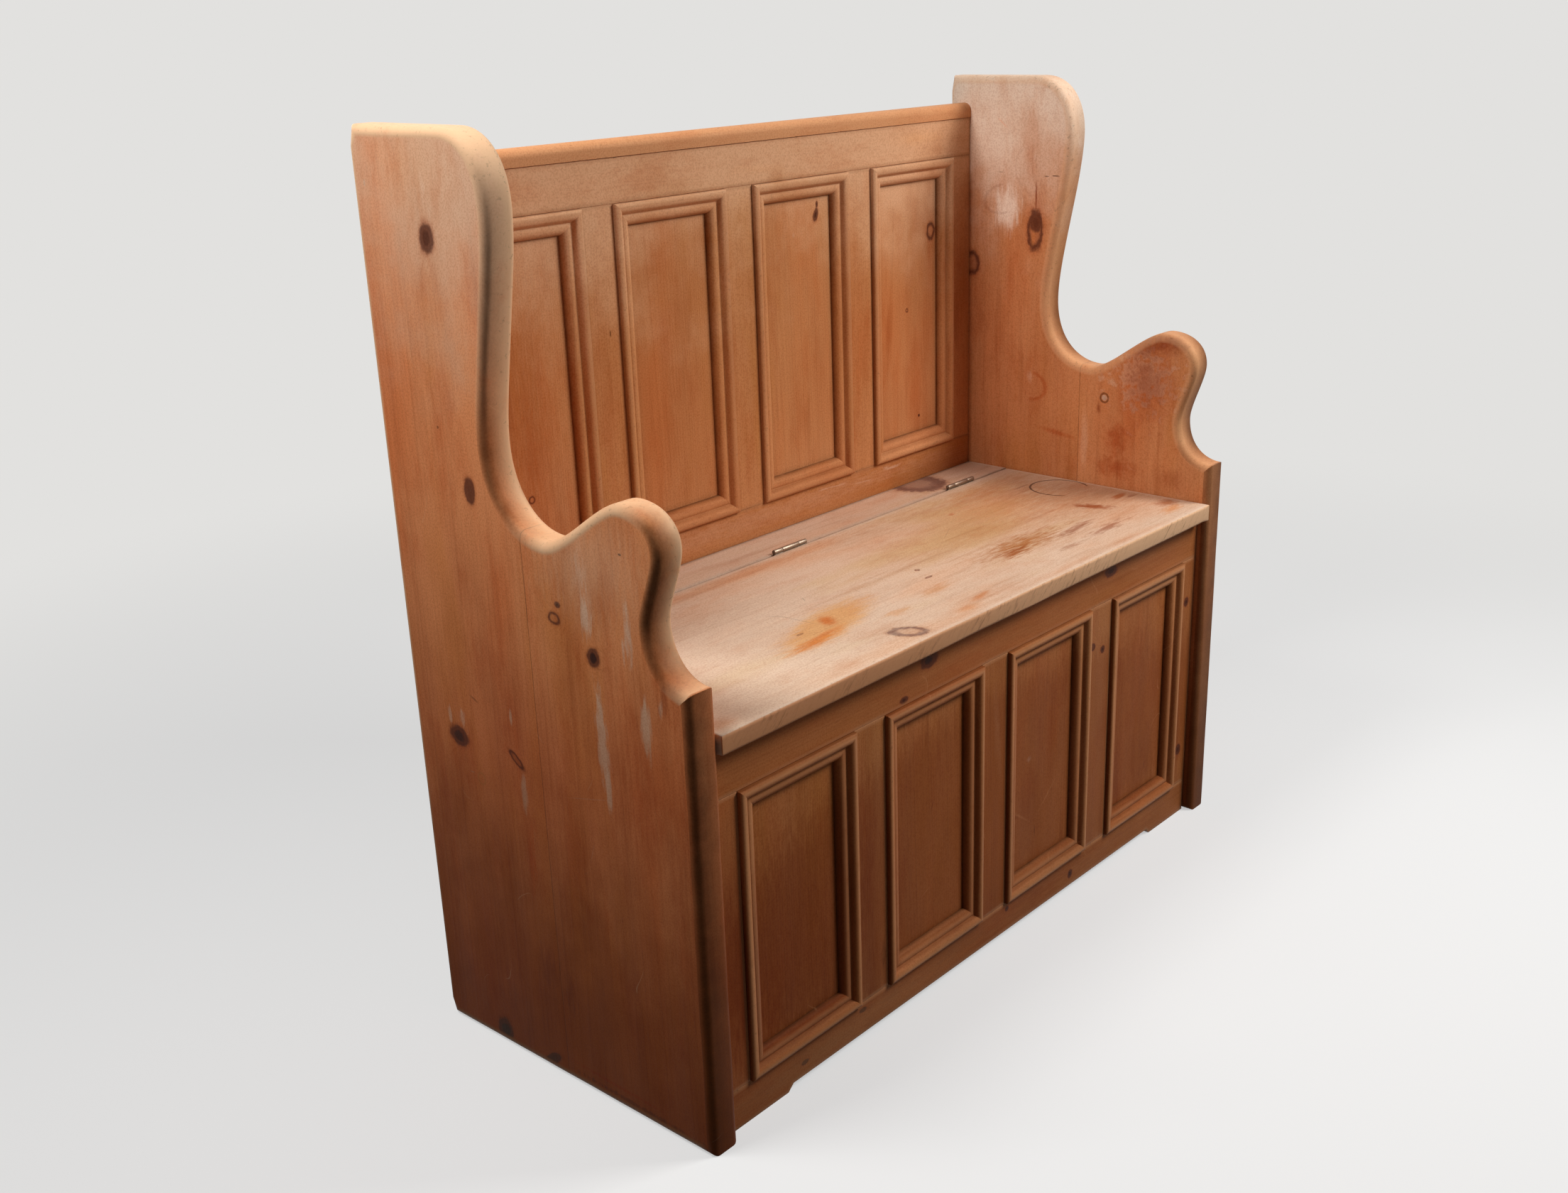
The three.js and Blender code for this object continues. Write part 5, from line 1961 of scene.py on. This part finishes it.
# The left end's outer face
LEFT_END_MARKS = Marked(Face.SIDE, -533.5, knots=(
    Knot(334, 943, (10, 14), 0.7, tilt=10),
    Knot(306, 687, (8, 13), 0.5),
    Knot(188, 573, (8, 6), -0.5),
    Knot(181, 589, (4, 3), 0.8, 1),
    Knot(132, 543, (8, 9), 1, tilt=10),
    Knot(371, 393, (14, 11), 0.9, 3, tilt=10),
    Knot(272, 391, (13, 4.5), -0.3, tilt=38),
    Knot(343, 18, (12, 15), 1),
    Knot(258, 14, (14, 6), 0.6, tilt=-35),
), stains=(
    Stain(332, 990, (5, 20), DRIP, 0.4, 0.8, 2, 1),
    Stain(139, 588, (12, 30), DRIP, 0.7, 0.8, 1.4, 1),
    Stain(143, 630, (13, 30), DRIP, 0.35, 0.9, 2.2, 1),
    Stain(128, 452, (10, 68), DRIP, 0.8, 0.7, 1.6, 1, tilt=-2),
    Stain(124, 400, (6, 36), DRIP, 0.75, 0.6, 0.8, 1),
    Stain(61, 484, (10, 44), DRIP, 0.8, 0.7, 1.4, 1),
    Stain(78, 580, (7, 38), DRIP, 0.6, 0.8, 1.8, 1),
    Stain(86, 560, (3, 20), DRIP, 0.5, 0.8, 1.6, 1),
    Stain(38, 512, (4, 14), DRIP, 0.5, 0.8, 1.4, 1),
    Stain(275, 440, (3, 12), DRIP, 0.75, 0.5, 0.8, 1),
    Stain(264, 352, (7, 30), DRIP, 0.7, 0.7, 0.9, 1, tilt=3),
    Stain(262, 270, (9, 60), BLUSH, 0.4, 0.9, 1.4, tilt=4),
    Stain(362, 418, (5, 14), DRIP, 0.5, 0.7, 2.2, 1),
    Stain(384, 414, (4, 12), DRIP, 0.5, 0.7, 2.2, 1),
    Stain(338, 349, (6, 7), (222, 158, 104), 0.5, 0.5, 0.8, 1, 0.25),
    Stain(354, 353, (5, 0.9), PALE, 0.7, 0.5, 0.4, 1, tilt=-4),
    Stain(159, 378, (46, 0.9), PALE, 0.28, 0.7, 0.4, 1, tilt=-14),
    Stain(158, 315, (1, 17), PALE, 0.22, 0.7, 0.4, 1, tilt=18),
    Stain(337, 446, (10, 2.2), SOOT, 0.4, 0.8, 0.8, tilt=24),
    Stain(349, 749, (2.4, 2.4), SOOT, 0.6, 0.7, 0.4),
    Stain(82, 661, (3, 1.6), SOOT, 0.8, 0.5, 0.3),
    Stain(34, 520, (8, 26), PLUM, 0.35, 0.9, 2.4),
    Stain(428, 992, (2.2, 5), PALE, 0.7, 0.5, 0.5, 1),
    Stain(215, 120, (16, 34), BROWN, 0.4, 1, 1.6),
    Stain(250, 140, (26, 36), BROWN, 0.4, 1, 1.6),
    Stain(150, 26, (100, 3.4), BLUSH, 0.5, 0.8, 1.4, tilt=1),
    Stain(120, 14, (120, 4), SOOT, 0.45, 0.8, 2, tilt=1),
    Stain(360, 1010, (90, 60), (255, 236, 214), 0.35, 1, 0.5),
    Stain(130, 640, (120, 90), (252, 208, 172), 0.34, 1, 0.8, 1),
    Stain(50, 430, (110, 150), (232, 212, 196), 0.9, 1, 0.6),
    Stain(240, 390, (300, 170), (248, 232, 228), 1, 1, 0.5),
))
# The right end's inner face
RIGHT_END_MARKS = Marked(Face.SIDE, 494.5, knots=(
    Knot(297, 838, (12, 27), -0.35, 4, tilt=4),
    Knot(296, 849, (9, 13), 0.55, 0, tilt=4),
    Knot(408, 784, (13, 16), -0.3, 2),
), stains=(
    Stain(296, 888, (2.6, 26), BROWN, 0.8, 0.8, 0.5),
    Stain(300, 827, (5, 14), (214, 138, 84), 0.7, 0.8, 0.6, 0.9, tilt=4),
    Stain(346, 868, (31, 46), (255, 234, 216), 0.82, 0.8, 0.9, 1),
    Stain(352, 880, (34, 20), BROWN, 0.2, 0.8, 0.6, 0, 0.14, -0.2, tilt=-14),
    Stain(318, 925, (14, 24), BROWN, 0.16, 0.8, 0.5, 0, 0.14, 0),
    Stain(264, 915, (8, 0.9), SOOT, 0.8, 0.5, 0.4),
    Stain(279, 914, (5, 0.8), SOOT, 0.7, 0.5, 0.4),
    Stain(357, 917, (5, 0.6), SOOT, 0.5, 0.5, 0.4),
    Stain(355, 985, (16, 2), (255, 180, 120), 0.4, 0.9, 1, tilt=40),
    Stain(340, 980, (120, 80), (252, 228, 206), 0.3, 1, 0.6, 0.8),
    Stain(300, 612, (26, 20), (224, 140, 84), 0.4, 0.9, 0.7, 0, 0.2, -0.1, tilt=186),
    Stain(302, 625, (9, 12), PALE, 0.35, 0.9, 1, 1),
    Stain(173, 609, (6.4, 6.4), SOOT, 0.6, 0.5, 0.5, 0, 0.3),
    Stain(173, 609, (5, 5), (206, 176, 154), 0.85, 0.3, 0.2, 1),
    Stain(182, 592, (5, 12), BROWN, 0.6, 0.9, 0.8),
    Stain(252, 547, (44, 6), (224, 140, 92), 0.5, 0.9, 0.8, tilt=8),
    Stain(205, 540, (9, 60), (255, 222, 190), 0.35, 0.8, 0.6, 0.7),
    Stain(152, 552, (26, 34), (216, 146, 102), 0.6, 1, 1.4, mottled=True),
    Stain(150, 510, (54, 20), (210, 140, 98), 0.6, 1, 1.4, mottled=True),
    Stain(100, 640, (72, 90), (222, 178, 154), 0.85, 1, 0.9, mottled=True),
    Stain(112, 650, (60, 60), (230, 184, 150), 0.6, 0.8, 3.4, 1, mottled=True),
    Stain(80, 696, (76, 24), (190, 140, 124), 0.8, 1, 1.2, mottled=True, tilt=-12),
    Stain(104, 640, (40, 52), (186, 132, 106), 0.55, 1, 2.6, mottled=True),
    Stain(24, 640, (16, 60), BROWN, 0.4, 1, 1),
    Stain(60, 505, (40, 24), BROWN, 0.35, 1, 1),
))
# The right end's outer face, which the photo hides
RIGHT_OUTER_MARKS = Marked(Face.SIDE, 533.5, knots=(
    Knot(297, 838, (10, 13), 0.8, tilt=6),
    Knot(140, 560, (9, 11), 0.9, tilt=-8),
    Knot(352, 505, (12, 14), 0.8, 3, tilt=10),
    Knot(226, 262, (11, 9), -0.5),
    Knot(92, 118, (8, 10), 0.9),
), stains=(
    Stain(180, 420, (7, 46), DRIP, 0.5, 0.8, 1.4, 1, tilt=3),
    Stain(300, 340, (60, 0.9), PALE, 0.3, 0.7, 0.4, 1, tilt=12),
    Stain(150, 24, (120, 4), SOOT, 0.45, 0.8, 2, tilt=1),
))
# The back
BACK_MARKS = Marked(Face.FRONT, 195.0, knots=(
    Knot(157, 888, (4.5, 9), 0.8, tilt=20),
    Knot(160, 902, (2.2, 4), 0.7, 0),
    Knot(410, 839, (9, 12), -0.7),
    Knot(353, 733, (3, 3), -0.6, 0.8),
    Knot(380, 573, (2.2, 2.2), 1, 0.6),
    Knot(-361, 617, (4.5, 4.5), -0.8, 0.8),
), stains=(
    Stain(-229, 792, (1.6, 6), SOOT, 0.7, 0.6, 0.6),
    Stain(112, 867, (4, 5), PALE, 0.3, 0.8, 1, 1),
    Stain(165, 513, (36, 2.2), PALE, 0.6, 0.7, 1.4, 1, tilt=2),
    Stain(300, 512, (30, 3.4), PALE, 0.6, 0.7, 2, 1, tilt=3),
    Stain(235, 505, (30, 1.6), PALE, 0.4, 0.7, 1, 1, tilt=2),
    Stain(375, 972, (80, 14), (255, 214, 160), 0.35, 0.9, 0.8, 0.4),
    Stain(40, 958, (70, 8), (255, 214, 170), 0.25, 0.9, 0.8, 0.4, tilt=4),
    Stain(0, 740, (560, 240), (250, 243, 232), 0.8, 0.4, 0.3),
    Stain(120, 700, (40, 90), (255, 224, 190), 0.2, 1, 0.8),
    Stain(-380, 740, (110, 260), (236, 208, 176), 0.9, 0.8, 0.5),
    Stain(0, 506, (560, 22), (216, 158, 120), 0.6, 0.8, 1, 1),
))
# The front
FRONT_MARKS = Marked(Face.FRONT, -202.0, knots=(
    Knot(-133, 441, (15, 9), 1),
    Knot(-180, 407, (7, 4), 0.9, 1),
    Knot(264, 440, (14, 7), 0.9),
    Knot(474, 337, (6, 7), 0.9),
    Knot(472, 106, (7, 8), 0.8),
    Knot(249, 335, (5, 5), 0.9, 1.2),
    Knot(224, 345, (6, 5), 0.4, 1.2),
    Knot(184, 25, (5, 6), 0.9, 1.2),
    Knot(32, 40, (4, 3.4), 0.8, 1),
    Knot(-264, 40, (6, 3), 0.5, 1),
    Knot(-368, 25, (6, 3), 0.5, 1),
), stains=(
    Stain(76, 152, (34, 2.8), (255, 206, 160), 0.55, 0.8, 0.6, 0.5, tilt=36),
    Stain(136, 162, (40, 2.8), (255, 206, 160), 0.5, 0.8, 0.6, 0.5, tilt=-40),
    Stain(62, 157, (16, 4), BROWN, 0.4, 0.8, 0.6, tilt=24),
    Stain(107, 120, (0.9, 11), SOOT, 0.7, 0.5, 0.4),
    Stain(390, 108, (1.2, 12), SOOT, 0.6, 0.6, 0.8, tilt=6),
    Stain(-222, 95, (9, 26), SOOT, 0.35, 1, 1.6),
    Stain(-208, 398, (24, 5), SOOT, 0.35, 0.9, 1.4),
    Stain(0, 190, (720, 205), (222, 204, 192), 0.9, 0.25, 0.3),
    Stain(6, 300, (10, 110), (255, 214, 170), 0.3, 1, 1, 0.3, tilt=-6),
    Stain(-430, 160, (330, 250), (190, 140, 108), 1, 1, 0.3),
    Stain(-260, 26, (400, 34), (240, 200, 150), 0.25, 0.8, 0.6, 0.6),
    Stain(-250, 230, (30, 240), (220, 184, 158), 0.8, 1, 0.5),
    Stain(90, 230, (9, 6), PALE, 0.3, 0.9, 1, 0.8),
    Stain(-116, 245, (1, 12), SOOT, 0.3, 0.7, 0.6, tilt=24),
))
# The top of the seat
SEAT_MARKS = Marked(Face.TOP, 479.5, knots=(
    Knot(-154, 28, (21, 13.5), -0.38, 3, tilt=-49),
    Knot(343, 398, (38, 40), -0.2, 3, deep=30),
    Knot(-235, 121, (5, 1.8), -0.2, 1),
    Knot(25, 153, (3, 3), -0.3, 1),
    Knot(12, 125, (6, 2), -0.3, 1.4),
), stains=(
    # Lighter over the seat's left and front: painted highlight.
    Stain(-380, 130, (420, 290), (255, 240, 216), 0.35, 1, 0.8, 1),
    Stain(-190, 118, (125, 42), (252, 214, 152), 0.8, 0.6, 0.6, tilt=14),
    Stain(-240, 92, (78, 14), (244, 184, 112), 0.75, 0.9, 0.9, tilt=3),
    Stain(-182, 126, (15, 26), (230, 156, 90), 0.75, 0.9, 0.9, tilt=-32),
    Stain(-215, 100, (50, 6), (240, 160, 80), 0.4, 0.9, 0.8, tilt=6),
    Stain(-8, 33, (34, 8), (234, 182, 128), 0.7, 0.9, 1, tilt=10),
    Stain(-50, 20, (30, 11), (250, 200, 140), 0.5, 0.9, 1),
    Stain(-20, 90, (44, 16), (236, 196, 150), 0.6, 1, 1.4, tilt=8),
    Stain(-110, 78, (34, 12), (236, 190, 140), 0.5, 0.9, 2),
    Stain(157, 94, (46, 17), (206, 150, 102), 0.8, 1, 1.6, tilt=6),
    Stain(190, 108, (120, 34), (212, 172, 134), 0.95, 1, 1.6, tilt=-2),
    Stain(245, 262, (8, 6), (230, 170, 130), 0.6, 0.8, 1, tilt=30),
    Stain(392, 125, (18, 38), (190, 128, 88), 0.9, 0.9, 1.4, mottled=True, tilt=24),
    Stain(458, 122, (24, 10), (214, 148, 92), 0.8, 0.8, 1),
    Stain(468, 50, (30, 18), (206, 148, 104), 0.8, 0.9, 1.2, mottled=True),
    Stain(448, 30, (40, 14), (246, 186, 110), 0.6, 0.9, 0.9, tilt=8),
    Stain(470, 108, (16, 5), BROWN, 0.5, 0.8, 0.8),
    Stain(290, 88, (60, 14), (196, 162, 150), 0.8, 1, 1.8, tilt=6),
    Stain(318, 55, (66, 14), (196, 162, 150), 0.8, 1, 1.8, tilt=3),
    Stain(220, 52, (36, 10), (200, 166, 150), 0.6, 1, 1.8),
    Stain(447, 215, (41, 43), (96, 70, 62), 0.8, 0.5, 0.35, 0.8, 0.05, -0.75),
    Stain(418, 262, (22, 2.2), (96, 70, 62), 0.35, 0.7, 1.2),
    Stain(330, 240, (150, 90), (250, 214, 176), 0.5, 1, 0.8, tilt=4),
    Stain(260, 220, (420, 200), (230, 208, 184), 0.9, 1, 0.5),
    Stain(440, 130, (200, 160), (226, 196, 172), 0.8, 1, 0.6),
    Stain(390, 300, (150, 36), (236, 190, 140), 0.5, 1, 0.8),
    Stain(-100, 320, (420, 22), (230, 186, 144), 0.5, 1, 0.8),
    Stain(60, 250, (300, 60), (240, 214, 194), 0.3, 1, 0.8, 0.5),
    Stain(-470, 20, (30, 20), (220, 170, 130), 0.5, 1, 0.8),
    Stain(-201, 155, (0.8, 42), (90, 80, 74), 0.3, 0.6, 0.4, 0.6, tilt=6),
    Stain(-208, 182, (0.8, 18), (90, 80, 74), 0.3, 0.6, 0.4, 0.6, tilt=28),
    Stain(-143, 196, (0.8, 9), (90, 80, 74), 0.35, 0.6, 0.4, 0.6, tilt=-34),
    Stain(-30, 170, (0.8, 26), (110, 96, 86), 0.25, 0.7, 0.8, 0.6, tilt=12),
    Stain(-80, 165, (0.8, 22), (110, 96, 86), 0.22, 0.7, 0.8, 0.6, tilt=-20),
    Stain(170, 214, (34, 0.8), (120, 96, 80), 0.25, 0.7, 0.6, 0.6, tilt=28),
))

# The finishes of this bench

SEAT_KNOT_SHADES = (
    (0.0, (198, 148, 110), 0.0), (0.3, (176, 122, 86), 0.35), (0.43, (120, 72, 60), 0.75),
    (0.54, (98, 56, 48), 0.9), (1.0, (80, 46, 36), 1.0),
)
BACK_PINE = PineFinish("back_pine", early=(212, 146, 97), late=(163, 92, 49), worn=(224, 162, 116),
                       faded_and_lit=(240, 190, 150), fade_and_light_span=(0.76, 0.98), fade_and_light_share=0.8, marked=(BACK_MARKS,))
CAP_PINE = replace(BACK_PINE, name="cap_pine", faded_and_lit=(222, 160, 114))
# Darker than the back's pine: partly the timber's own colour, partly painted shade.
FRONT_PINE = PineFinish("front_pine", early=(194, 121, 71), late=(134, 74, 38), worn=(240, 170, 120),
                        dirt=(52, 30, 14), floor_dirt=0.15, floor_reach=0.2, edge_wear=0.65,
                        marked=(FRONT_MARKS,))
LEFT_END_PINE = PineFinish("left_end_pine", early=(252, 165, 110), late=(176, 92, 48), ring_width=7.0,
                           rings=0.16, bands=0.65, fibres=0.4, worn=(240, 197, 156), dirt=(56, 36, 20),
                           floor_dirt=0.35, floor_reach=0.7, floor_shade=1.0, edge_wear=0.85,
                           faded_and_lit=(240, 202, 171), fade_and_light_share=0.8, mottle=0.5,
                           joint_depth=FRONT_OF_ENDS + 231, marked=(LEFT_END_MARKS,))
RIGHT_END_PINE = PineFinish("right_end_pine", early=(218, 151, 103), late=(154, 90, 53), ring_width=7.0,
                            rings=0.14, worn=(234, 184, 140), floor_dirt=0.3, floor_reach=0.5,
                            floor_shade=0.7, edge_wear=0.38, faded_and_lit=(252, 230, 210), fade_and_light_span=(0.77, 1.05),
                            fade_and_light_share=0.9, mottle=0.45, joint_depth=FRONT_OF_ENDS + 215,
                            marked=(RIGHT_END_MARKS, RIGHT_OUTER_MARKS))
SEAT_PINE = PineFinish("seat_pine_scrubbed", early=(224, 196, 172), late=(174, 128, 94), worn=(238, 214, 192),
                       dirt=(72, 38, 20), knot_shades=SEAT_KNOT_SHADES, ring_width=7.0, rings=0.1, bands=0.3,
                       fibres=0.25, roughness=0.58, sheen=(1.0, 0.9, 0.8), scratches=0.0,
                       edge_rough=-224.0, marked=(SEAT_MARKS,))
INNER_PINE = PineFinish("inner_pine_raw", early=(214, 168, 116), late=(166, 112, 66), worn=(220, 180, 130),
                        roughness=0.75, gloss=0.2, floor_dirt=0.2, relief=0.5, rings=0.4, corner_dirt=0.5)


def main() -> None:
    """Builds the bench, its studio and its camera."""
    logging.basicConfig(level=logging.INFO, format="%(name)s: %(message)s")
    Studio().build()
    ScrolledEnd("left_end", LEFT_END_PINE, 1).build()
    ScrolledEnd("right_end", RIGHT_END_PINE, 2).build()
    mouldings = Mouldings()
    PanelledFrame("back", BACK_PINE, 3).build(mouldings)
    PanelledFrame("front", FRONT_PINE, 5).build(mouldings)
    BackCap(CAP_PINE).build()
    hinges = ("left_hinge", "middle_hinge", "right_hinge")
    Seat(SEAT_PINE, INNER_PINE, hinges).build()
    BoxInside(INNER_PINE).build()
    steel = SteelFinish().material()
    screws = screw_row_tree()
    for name in hinges:
        ButtHinge(name, steel, screws).build()
    bpy.context.view_layer.update()


if __name__ == "__main__":
    main()
